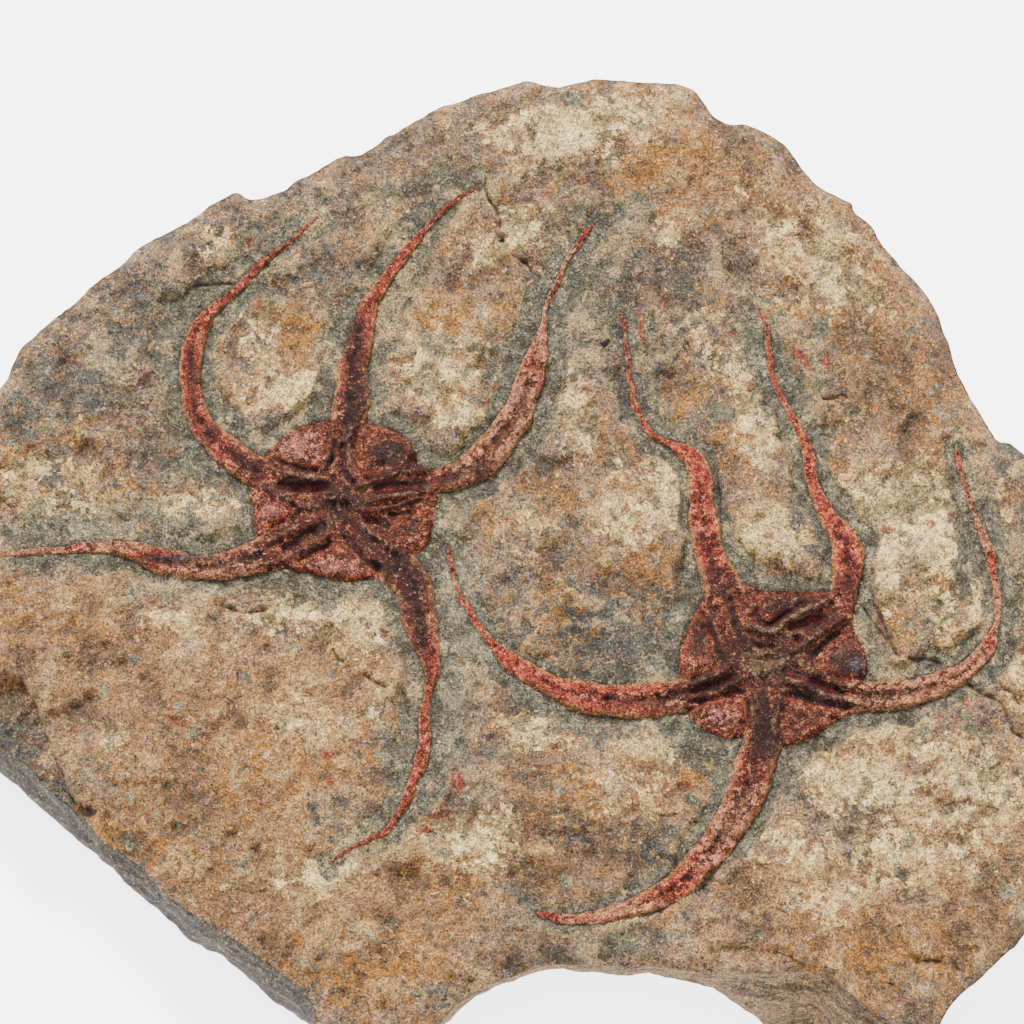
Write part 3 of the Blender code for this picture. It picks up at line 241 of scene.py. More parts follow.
RIGHT_STAR = {
    "name": "right_star",
    "deep": 0.1,
    "arms": [
        {
            "path": [
                (78.7, 24.4, 0.35), (79, 22.8, 0.5), (79.2, 21.5, 0.5), (79.3, 20, 0.4),
                (79.8, 18.6, 0.35), (80.3, 17, 0.4), (80.7, 15.5, 0.4), (81.2, 13.8, 0.4),
                (81.7, 12.3, 0.45), (82.2, 10.8, 0.55), (82.8, 9.5, 0.65), (83.3, 8, 0.8),
                (83.9, 6.5, 0.85), (84.2, 5, 0.9), (84.3, 3.4, 0.8), (84.5, 2, 0.65),
                (84.8, 0.8, 0.65), (85.1, -1.2, 0.75), (85.2, -2.5, 0.7), (85.2, -3.6, 0.65),
                (85.1, -5, 0.5), (84.9, -6.3, 0.55), (84.5, -7.4, 0.75), (83.8, -8.8, 1.15),
                (83, -10.3, 1.4), (82, -11.7, 1.45), (80.9, -12.9, 1.5), (79.6, -14, 1.65),
                (77.9, -15.1, 1.85), (76, -15.9, 2.0), (74, -16.8, 2.1), (71.5, -17.6, 2.25),
                (68.5, -18.2, 2.5), (65.6, -18.4, 2.65), (63, -18.35, 2.7),
            ],
            "halo": [
                (0, 2, 1.5), (0.12, 3.8, 2.2), (0.3, 3.5, 3.6), (0.45, 3.5, 2.4), (0.55, 3, 2.2),
                (0.68, 3.2, 2.9), (0.82, 2.3, 3.6), (1, 2.6, 3.8),
            ],
            "rib": [(63, -18.35, 2.6), (59, -17.6, 2.4), (55, -16.2, 2.2), (51, -14.6, 1.8)],
            "web": [(63.7, -13.4), (63.3, -11.2), (62.2, -8.8), (61.3, -6.4)],
        },
        {
            "path": [
                (45.5, 48.6, 0.35), (46, 47.4, 0.35), (46.5, 46.3, 0.35), (47.2, 45, 0.35),
                (47.4, 43.6, 0.45), (47.4, 42, 0.5), (47.6, 40, 0.55), (47.9, 38.2, 0.6),
                (48.2, 36, 0.55), (48.7, 34.6, 0.5), (49.3, 33, 0.5), (50, 31.7, 0.5),
                (50.8, 30.2, 0.5), (51.6, 28.6, 0.55), (52.3, 27.2, 0.65), (52.9, 26, 0.75),
                (53.4, 24.9, 0.9), (53.8, 23.7, 1.0), (54.1, 22.2, 1.15), (54.2, 20.5, 1.1),
                (54.5, 18.8, 1.0), (54.9, 17.2, 1.0), (55.5, 15.5, 1.15), (56.1, 14, 1.35),
                (56.9, 12.5, 1.5), (57.8, 11, 1.7), (58.8, 9.5, 2.0), (59.8, 7.8, 2.35),
                (60.3, 6, 2.6), (60.3, 4, 2.7), (60.2, 1.8, 2.5), (59.6, -1.2, 2.4),
            ],
            "halo": [
                (0, 1.2, 2.5), (0.15, 1.6, 3.2), (0.28, 4, 2.6), (0.42, 3.8, 3), (0.55, 2.3, 2.6),
                (0.75, 2.8, 2.5), (0.88, 2.2, 2.6), (1, 2.2, 4),
            ],
            "rib": [(59.6, -1.2, 2.4), (56, -4.6, 2.3), (52.5, -7, 2.1), (49, -9.6, 1.8)],
            "web": [(54, -0.6), (50, -0.4), (46.5, -0.4)],
        },
        {
            "path": [
                (22.7, 47.2, 0.35), (23.3, 45, 0.4), (23.4, 43.4, 0.4), (23.5, 41.5, 0.4),
                (23.9, 40, 0.4), (24, 38, 0.4), (24, 36.5, 0.4), (24.3, 35, 0.45), (24.7, 33.4, 0.45),
                (24.7, 32, 0.5), (25.2, 30.8, 0.55), (25.8, 29.5, 0.6), (26.4, 28.3, 0.6),
                (27, 27, 0.6), (28, 25.9, 0.6), (29.5, 25, 0.6), (31, 24.3, 0.75), (32.2, 23.6, 1.1),
                (33.5, 22.8, 1.5), (34.8, 21.6, 1.75), (35.6, 19.9, 1.85), (35.9, 18, 2.05),
                (35.9, 16, 2.1), (36.1, 14, 2.1), (36.2, 12, 2.3), (36.5, 10, 2.5), (36.8, 8, 2.55),
                (37.2, 6, 2.6), (37.8, 4, 2.75), (38.6, 2, 3.0), (39.5, -0.3, 3.5),
            ],
            "halo": [
                (0, 4.5, 2.2), (0.15, 3.6, 2), (0.3, 4, 2.2), (0.42, 3.5, 2.8), (0.55, 3, 2.6),
                (0.65, 2.4, 1.6), (0.85, 2.6, 1.8), (1, 4, 3.4),
            ],
            "rib": [(39.5, -0.3, 3.4), (40.3, -3.6, 2.9), (41.2, -7, 2.5), (43.2, -10.4, 1.9)],
            "web": [(35.2, -2.8), (33.7, -5.8), (32.4, -9), (32, -12.2)],
        },
        {
            "path": [
                (-6.3, 6.9, 0.35), (-6, 5.5, 0.5), (-5.7, 4, 0.45), (-5.4, 2.5, 0.4), (-5.1, 1, 0.4),
                (-4.6, -0.7, 0.4), (-4, -2, 0.5), (-3, -3.2, 0.6), (-2.2, -4.8, 0.6), (-1.5, -6.2, 0.6),
                (-0.5, -7.4, 0.65), (0.4, -8.6, 0.7), (1.5, -9.9, 0.85), (2.7, -11.2, 1.2),
                (4, -12.4, 1.5), (5.7, -13.7, 1.7), (7.6, -14.9, 1.8), (9.7, -16, 1.85),
                (11.7, -17, 2.0), (13.8, -17.8, 2.3), (16, -18.4, 2.5), (19, -18.9, 2.75),
                (22, -19.1, 2.9), (25, -19.15, 3), (28, -19, 3), (30.4, -18.7, 2.9), (32.3, -18.3, 2.85),
            ],
            "halo": [
                (0, 2, 2), (0.15, 2.2, 3), (0.35, 1.8, 3.8), (0.5, 2, 3), (0.65, 2.3, 3), (0.8, 4, 1.8),
                (1, 5.5, 4),
            ],
            "rib": [(32.3, -18.3, 2.8), (35.4, -17.2, 2.1), (38.6, -16.2, 1.9), (42.6, -14.6, 1.7)],
            "web": [(34.2, -22.8), (36.6, -24.5), (39.4, -25.8)],
        },
        {
            "path": [
                (8.2, -54.2, 0.4), (10, -54.8, 0.75), (12, -55.2, 0.9), (14.5, -55.3, 0.95),
                (17, -55.1, 1.1), (19.5, -54.7, 1.25), (22, -54, 1.35), (24.5, -53.3, 1.5),
                (26.8, -52.4, 1.8), (29, -51.3, 2.0), (31.5, -49.8, 2.3), (33.5, -48, 2.45),
                (35.5, -46, 2.5), (37.2, -44, 2.6), (38.8, -42, 2.75), (40.2, -40, 2.85),
                (41.3, -38, 2.9), (42.3, -36, 3.0), (43.2, -34, 3.15), (44, -32, 3.35),
                (44.7, -29.6, 3.4), (45.7, -26.3, 3.45),
            ],
            "halo": [
                (0, 2, 1), (0.12, 2, 1), (0.3, 1.6, 1.8), (0.45, 2.4, 0.8), (0.6, 3.2, 1.2),
                (0.75, 3, 2.6), (0.9, 3, 2.8), (1, 5, 3.6),
            ],
            "rib": [(45.7, -26.3, 3.3), (45.9, -23, 2.6), (46, -20, 2.3), (46, -16.4, 1.9)],
            "web": [(51.5, -26.4), (54.5, -25.2), (57, -23.6), (59.3, -22.1)],
        },
    ],
}

STARS = [LEFT_STAR, RIGHT_STAR]

# Raised swellings of the face: x, y, half length, half width, turn in degrees, height
SWELLINGS = [
    (16, 4, 17, 10, -10, 1.7), (-10, 53, 5, 9, -30, 0.8), (-9, 34, 8, 8, 20, 1.4), (-35, 38, 5, 8, 5, 1.2),
    (13, 24, 5, 8, -30, 0.9), (25, 5, 7, 8, 0, 0.8), (45, 24, 5, 9, 5, 1.1), (68, 2, 5, 13, 5, 1.0),
    (-60, -12, 16, 8, -5, 0.8), (-40, -25, 14, 10, 20, 0.9), (-66, 27, 12, 9, 30, 0.8),
    (15, -38, 9, 5, 5, 0.9), (62, -50, 14, 10, 0, 0.7), (74, -30, 9, 7, 0, 0.5), (64, 50, 8, 10, -30, 0.7),
    (20, 76, 16, 6, 0, 0.5), (-14, -62, 12, 7, 10, 0.5), (2, -55, 7, 5, 0, 0.7),
    (14.2, 35.6, 2.2, 1.8, 0, 0.9),
]

# Crisp steps of the bedding: the face drops on the right of the line, and recovers over the fade.
# Drop and fade, then the line.
LEDGES = [
    (2.8, 40, [
        (-96, -10), (-88, -12.4), (-80, -14), (-77, -15), (-75.4, -17), (-74.2, -20), (-73.2, -23.5),
        (-71.6, -27.5), (-70, -30), (-68.9, -33), (-67.4, -35.6), (-65.2, -37.1), (-63, -37.2),
    ]),
    (0.45, 6, [
        (-75.5, -18.6), (-73.3, -20.4), (-71.5, -20.9), (-68.4, -20), (-66.6, -18.9), (-65.7, -17.2),
        (-67, -15.2),
    ]),
    (0.4, 6, [
        (-69, -11), (-66.6, -9.7), (-63.8, -9.8), (-61, -8.3), (-58.6, -7.6), (-56.4, -7.1), (-55, -9.4),
    ]),
    (0.8, 6, [(-63.6, -8.6), (-65, -6.2), (-67.6, -4.2), (-70.5, -3.4), (-74.5, -4.4)]),
    (0.9, 7, [(28, -50.2), (24, -49.6), (19.5, -48), (15.5, -47.1), (12, -45.8), (10, -43.6), (9.4, -40)]),
    (1.0, 7, [(35, -59.6), (40.4, -59.8), (47, -60.4), (52.5, -61.9), (58, -64.6), (61, -67.6)]),
]

# Top edge of the broken slope at the lower right, from the notch to the tip of the tongue; the face falls
# below and left of it, as far as the slope's open side.
SLOPE_TOP = [
    (37, -63.2), (41, -63.6), (47, -63.8), (53, -63.4), (57, -64.4), (59.6, -67), (62.5, -69.2),
    (66, -71.6), (68.5, -76), (69.6, -82), (69, -90),
]
SLOPE_OPEN = [(36.5, -90), (36.5, -66)]

# Where the slab's side is grey, and where it is freshly broken.
GREY_SIDE = [(-79, -31), (-60, -48), (-45, -60), (-33, -70)]
NOTCH_SIDE = [(-10, -76), (-4, -69), (6, -64.5), (24, -63), (40, -67), (50, -76), (60, -87)]

# Relief of the discs. Fields are closed outlines that dome; ridges and slits are lines with a half width
# and a height or depth.
DISC_RELIEF = {
    "left_star": {
        "fields": [
            [
                (-35.7, 23.9), (-33.7, 26.1), (-31.4, 27.4), (-29.1, 27.9), (-26.8, 27.7), (-25.9, 26.5),
                (-25.7, 24.1), (-26.8, 21.3), (-27.8, 19.9), (-29.9, 20), (-31.9, 20.6), (-33.9, 21.6),
                (-35.1, 22.5),
            ],
            [
                (-20.6, 27.4), (-17.8, 27.5), (-15.3, 26.9), (-13, 25.3), (-11.3, 23.4), (-11.7, 21.8),
                (-13.4, 20.6), (-16.3, 20), (-18.9, 19.1), (-20.9, 18.4), (-21.5, 19.4), (-21.3, 22.6),
                (-21.6, 25.2),
            ],
            [(-15, 11.9), (-12.7, 12.3), (-9.4, 12.3), (-8.2, 10.8), (-9.2, 8.4), (-10.5, 6.4), (-12.4, 6.2),
             (-13.9, 7.9), (-15.2, 9.5)],
            [(-24, 7.4), (-25.8, 6.6), (-28.1, 5.3), (-31, 4.5), (-31.8, 3.2), (-30.1, 2.5), (-27, 1.8),
             (-24.5, 1), (-21.7, 1.1), (-18.9, 1.7), (-18, 2.6), (-19.8, 4.3), (-21.6, 6)],
            [(-37.9, 15), (-36, 15), (-34.3, 13.7), (-32.6, 12.4), (-34.5, 10.9), (-36, 10.3), (-37.9, 10.2),
             (-38.2, 12.4)],
        ],
        "ridges": [
            (0.85, 1.0, [
                (-38.5, 21.2), (-35.7, 20.2), (-32.7, 19.2), (-30.1, 18.7), (-27.4, 18.4), (-25.5, 17.6),
            ]),
            (0.8, 0.95, [
                (-38.5, 17.4), (-35.7, 16.2), (-33.7, 15.1), (-31.6, 14.2), (-29.1, 13.7), (-26.8, 13.9),
            ]),
            (0.5, 0.6, [(-32.4, 16), (-30.1, 15.2), (-28.1, 15), (-25.6, 16)]),
            (0.5, 0.9, [(-26.4, 28.5), (-25.8, 24.5), (-26.3, 21.6), (-27.4, 18.9)]),
            (0.5, 0.6, [(-24.6, 25), (-25.1, 20.6), (-25.5, 18)]),
            (0.65, 1.0, [(-22, 28.6), (-22.7, 25.2), (-22.8, 22.4), (-22.3, 19.6), (-21.6, 17.8)]),
            (0.7, 0.95, [
                (-8, 20), (-10.8, 20.1), (-13, 20), (-15.3, 19.3), (-17.8, 18.5), (-20.2, 17.6),
                (-22.4, 16.6),
            ]),
            (0.7, 0.9, [(-8, 16.7), (-11.4, 16), (-14, 15.7), (-16.6, 15.2), (-19.1, 14.5), (-21.6, 13.6)]),
            (0.45, 0.6, [(-9.6, 15.2), (-13.2, 14.3), (-15.8, 13.6), (-18.9, 13), (-21.6, 12.9)]),
            (0.7, 1.0, [(-22.2, 11.6), (-20.6, 10.3), (-19, 9), (-17.4, 7.8), (-15.6, 6.4), (-13.6, 5.2)]),
            (0.6, 0.8, [(-22, 9.4), (-20.6, 7.8), (-19.2, 5.8), (-17.6, 4), (-15.8, 2.4)]),
            (0.75, 1.0, [(-27.8, 12.2), (-30.1, 11), (-31.9, 9.8), (-33.9, 8.7), (-36.5, 7.6)]),
            (0.5, 0.7, [(-31, 11.9), (-32.8, 10.5), (-34.8, 9.5), (-37.2, 8.9)]),
            (0.6, 0.8, [(-25.4, 9.2), (-27, 8.1), (-29.1, 6.6), (-31.4, 5.5), (-34.5, 4.2), (-37.4, 3.4)]),
            (0.6, 0.7, [(-24, 18), (-24.4, 16), (-24.6, 13.4), (-23.6, 11.2)]),
            (0.6, 0.6, [(-27.5, 14.6), (-24, 14.9), (-21, 14.6)]),
        ],
        "slits": [
            (0.75, 1.3, [(-34, 17.3), (-32.2, 17), (-30, 16.9), (-28, 16.9), (-26.5, 17.1)]),
            (0.8, 1.4, [(-18, 16.6), (-16, 16.8), (-14, 17.2), (-11.6, 17)]),
            (0.45, 0.7, [(-11.6, 17.6), (-8, 18.3)]),
            (0.6, 1.1, [(-19.8, 11.3), (-17, 11)]),
            (0.45, 0.8, [(-26.2, 20.8), (-25.3, 22.6), (-25, 25)]),
            (0.5, 0.9, [(-23.7, 24.4), (-23.8, 21.8), (-23.4, 19.2), (-22, 17.3)]),
            (0.5, 0.9, [(-23.4, 8.4), (-21.7, 6.8), (-19.6, 4.2), (-17.4, 2.6)]),
            (0.6, 0.9, [(-27.2, 10.4), (-29.6, 9.4), (-31.6, 7.6), (-33.6, 6.6)]),
            (0.5, 0.9, [(-32.2, 14), (-31.2, 12.9), (-32, 11.6)]),
            (0.4, 0.7, [(-35.4, 22), (-33, 20.9), (-30.4, 20), (-28.2, 19.6)]),
            (0.4, 0.6, [(-12.4, 20.6), (-16, 19.5), (-19.6, 18.4)]),
            (0.35, 0.6, [(-10.6, 14.7), (-14.4, 13.8)]),
            (0.4, 0.6, [(-16, 12.3), (-12.6, 12.8)]),
            (0.4, 0.6, [(-34, 4.4), (-32.6, 2.8)]),
            (0.45, 0.7, [(-26, 7.6), (-29.4, 5.6)]),
        ],
    },
    "right_star": {
        "fields": [
            [(35.3, -3.6), (36.4, -6.3), (37.5, -7.8), (38.2, -10.6), (38.5, -13), (36.7, -14), (34.4, -14.9),
             (32.6, -14.7), (32.6, -11.8), (33.1, -8.7), (34.2, -5.9)],
            [
                (45, -1.2), (46.5, -1), (49.1, -1.1), (52.1, -1.4), (54, -2), (52.1, -3), (50, -4.2),
                (47.9, -5.6), (46.7, -5.9), (45.6, -4.9), (45.2, -3),
            ],
            [(60.5, -7.9), (58.8, -8.6), (57.2, -10), (56, -11.3), (55.2, -12.5), (56, -13.7), (57.7, -14.8),
             (60, -15.4), (62, -15.1), (63, -14.2), (63, -11.7), (62, -9.6)],
            [(51, -18.9), (53, -19.5), (55.3, -20.1), (57.7, -20.7), (59.4, -21), (57.9, -22), (55.8, -23.3),
             (53.5, -25), (51.2, -26), (49.8, -25), (49.4, -22.4), (49.5, -20)],
            [
                (38.1, -19), (40.2, -18.5), (42.2, -18.8), (43.2, -20.2), (43.3, -22.4), (42.6, -24.3),
                (40.9, -25.3), (38.6, -24.8), (36.5, -23.9), (34.7, -22.2), (34.2, -20.6), (35.8, -19.8),
            ],
        ],
        "ridges": [
            (0.7, 0.8, [(36.8, 0), (37, -2.6), (37.6, -5), (38.8, -8), (40, -11)]),
            (0.6, 0.8, [(40.4, 0.4), (39.6, -2.4), (40, -5), (41, -7.4), (41.6, -9.6)]),
            (0.6, 0.9, [(42.6, 0.4), (44, -1.2), (44.6, -3.9)]),
            (0.75, 1.1, [
                (42.8, -6.2), (44.8, -7), (47, -7.7), (48.6, -7), (50, -5.6), (51.9, -4.6), (54.2, -3.5),
                (56.4, -2.4), (58.6, -1.4),
            ]),
            (0.8, 1.0, [(49.6, -11), (52.1, -10.2), (54, -8.8), (55.8, -7.6), (57.4, -6.5), (59.6, -5)]),
            (0.7, 1.0, [
                (50.4, -12.2), (51.9, -12.7), (53.6, -13.8), (55.4, -14.8), (57.4, -15.8), (60, -16.6),
                (63.4, -16.6),
            ]),
            (0.85, 1.0, [
                (48.6, -15.8), (51.4, -16.4), (54, -17.3), (56.5, -18.4), (59.6, -19.2), (63.4, -19.5),
            ]),
            (0.6, 0.9, [(43.2, -17), (43.9, -18.6), (44.2, -20.4), (44, -22), (44.2, -24.6), (43.6, -27)]),
            (0.7, 0.9, [(50.4, -17.2), (49, -18), (48.3, -20), (47.8, -22.6), (48, -25), (47.4, -27.4)]),
            (0.7, 0.9, [(31.8, -16.4), (34.4, -16.2), (36.7, -15.1), (38.8, -14.2), (41, -13)]),
            (0.6, 0.8, [
                (31.8, -19.2), (35.3, -18.3), (37.7, -17.9), (39.8, -17), (41.6, -15.9), (43.4, -14.9),
            ]),
            (1.1, 0.8, [(43, -13.6), (45.6, -14.6), (48.4, -13.6), (50.6, -11.8)]),
            (0.8, 0.6, [(42.4, -11.4), (46, -11.2), (49.6, -12.2)]),
            (0.5, 0.6, [(43.2, -8.6), (45.6, -9.4), (48.4, -9.6)]),
        ],
        "slits": [
            (0.7, 1.3, [(51, -6.8), (52.6, -6.2), (54, -5.8), (55.9, -5.5)]),
            (0.5, 1.1, [(51.6, -8.6), (52.2, -8.9)]),
            (0.5, 0.9, [(54, -11.8), (55.4, -10.3), (57, -8.7), (58.4, -7.8)]),
            (0.65, 1.2, [(49.8, -14.3), (52, -14.9), (54.2, -15.9), (56.6, -17.1), (58.8, -17.9)]),
            (0.5, 0.9, [(50.8, -18), (53, -18.8), (55.8, -19.6), (60, -20.2)]),
            (0.65, 1.1, [(34.6, -17.4), (36.8, -16.6), (39, -15.9), (41.3, -15)]),
            (0.5, 0.8, [(40.4, -17.1), (42.4, -17.7)]),
            (0.9, 0.8, [(46, -18.4), (46, -21), (46, -24)]),
            (0.45, 0.8, [(37, -5.4), (38, -8.4), (38.8, -11.6)]),
            (0.5, 0.9, [(45.4, -5.6), (46.8, -6.4), (48.3, -5.8), (50.6, -4)]),
            (0.5, 0.8, [(41.2, -4), (42, -8), (43, -10.6)]),
            (0.5, 0.8, [(34.4, -15.6), (37.4, -14.4)]),
            (0.45, 0.7, [(33.2, -19.6), (36.4, -18.9)]),
            (0.4, 0.6, [(43.4, -19), (43.6, -22)]),
        ],
    },
}

# Cracks and crisp hollows of the face: half width, depth, and the line
CRACKS = [
    (0.45, 0.9, [
        (79, -15.8), (80.2, -16.3), (81, -17.2), (82.5, -18), (84.2, -18.8), (85.3, -19.5), (86, -21),
        (86.6, -23), (87, -24.5), (88, -24.8), (90, -26),
    ]),
    (0.3, 0.6, [(85.4, -17), (87.3, -18), (88, -19.5), (88.5, -20)]),
    (0.5, 1.0, [(64, -2), (65, -3.5), (65.8, -5.5), (66.8, -8), (67.5, -10), (68, -11.3), (69.5, -12)]),
    (0.35, 0.7, [(62.6, -2.8), (63.8, -4.8), (65.2, -7), (67, -9.5)]),
    (0.35, 0.6, [(69.5, -12.2), (73, -12), (75.5, -12.8), (76.2, -13.1)]),
    (0.4, 0.8, [(0, 72), (-0.2, 69), (0.5, 67), (1.7, 65.5), (2.2, 64), (2.6, 61.5)]),
    (0.7, 0.8, [(2.2, 60.4), (3.4, 59.6)]),
    (0.3, 0.6, [(4, 57.5), (7, 55.8), (7.8, 54.3), (9.5, 53.3)]),
    (0.3, 0.7, [(19.6, 40.8), (21.2, 42.5)]),
    (0.3, 0.6, [(28.5, -38), (30, -38.4), (32, -38)]),
    (0.35, 0.7, [(-25.5, -10), (-24.3, -12.5), (-23, -12.8)]),
    (0.4, 0.7, [(-20.5, -14.5), (-18.5, -16), (-16, -17.3)]),
    (0.3, 0.6, [(65.5, -65.6), (67, -66.4)]),
    (0.3, 0.6, [(70, -62.5), (73, -62), (75, -62.3)]),
    (0.35, 0.7, [(56, 32), (58, 31.9), (59.7, 32.9), (61, 32)]),
    (0.35, 0.6, [(-50, 52), (-46, 52.2), (-42, 52.3)]),
    (0.3, 0.5, [(-44, -3), (-40, -4.5), (-36, -4)]),
    (0.3, 0.5, [(38.5, 20), (39.2, 16), (39.2, 12), (39.6, 8)]),
]

# Patches of small pits: x, y, half length, half width, turn, how many, depth
PITTED = [
    (-37, -42, 9, 5, 10, 60, 0.55), (-48, -28, 10, 8, 0, 45, 0.4), (-2, -52, 6, 7, 0, 60, 0.5),
    (-78.4, -22.8, 2.6, 3.4, 0, 34, 0.9), (-27, -33, 7, 6, 0, 26, 0.4), (45, -52, 12, 6, 0, 36, 0.35),
    (68, -62, 9, 5, 0, 34, 0.4), (-15, -62, 13, 6, 0, 46, 0.4), (50, 66, 12, 8, -30, 46, 0.35),
    (-66, 40, 11, 9, 30, 46, 0.35), (16, -56.5, 8, 3, 0, 20, 0.35), (15, 8, 14, 9, 0, 40, 0.35),
]

# Knobs: x, y, radius, height
KNOBS = [
    (14.2, 35.5, 1.5, 0.8), (-0.1, -15.8, 0.8, 0.4), (-38.8, 33.3, 1.0, 0.5), (21.8, 59.7, 0.6, 0.4),
    (1.8, 1.8, 1.1, 0.3), (86.6, -4, 0.5, 0.4), (25, 49.5, 0.6, 0.3), (25.8, 46, 0.6, 0.3),
    (26.5, 41.5, 0.6, 0.3), (4.5, 10.8, 1.6, 0.4), (28.6, 21.4, 0.7, 0.3), (-14.8, -15.5, 0.9, 0.4),
]

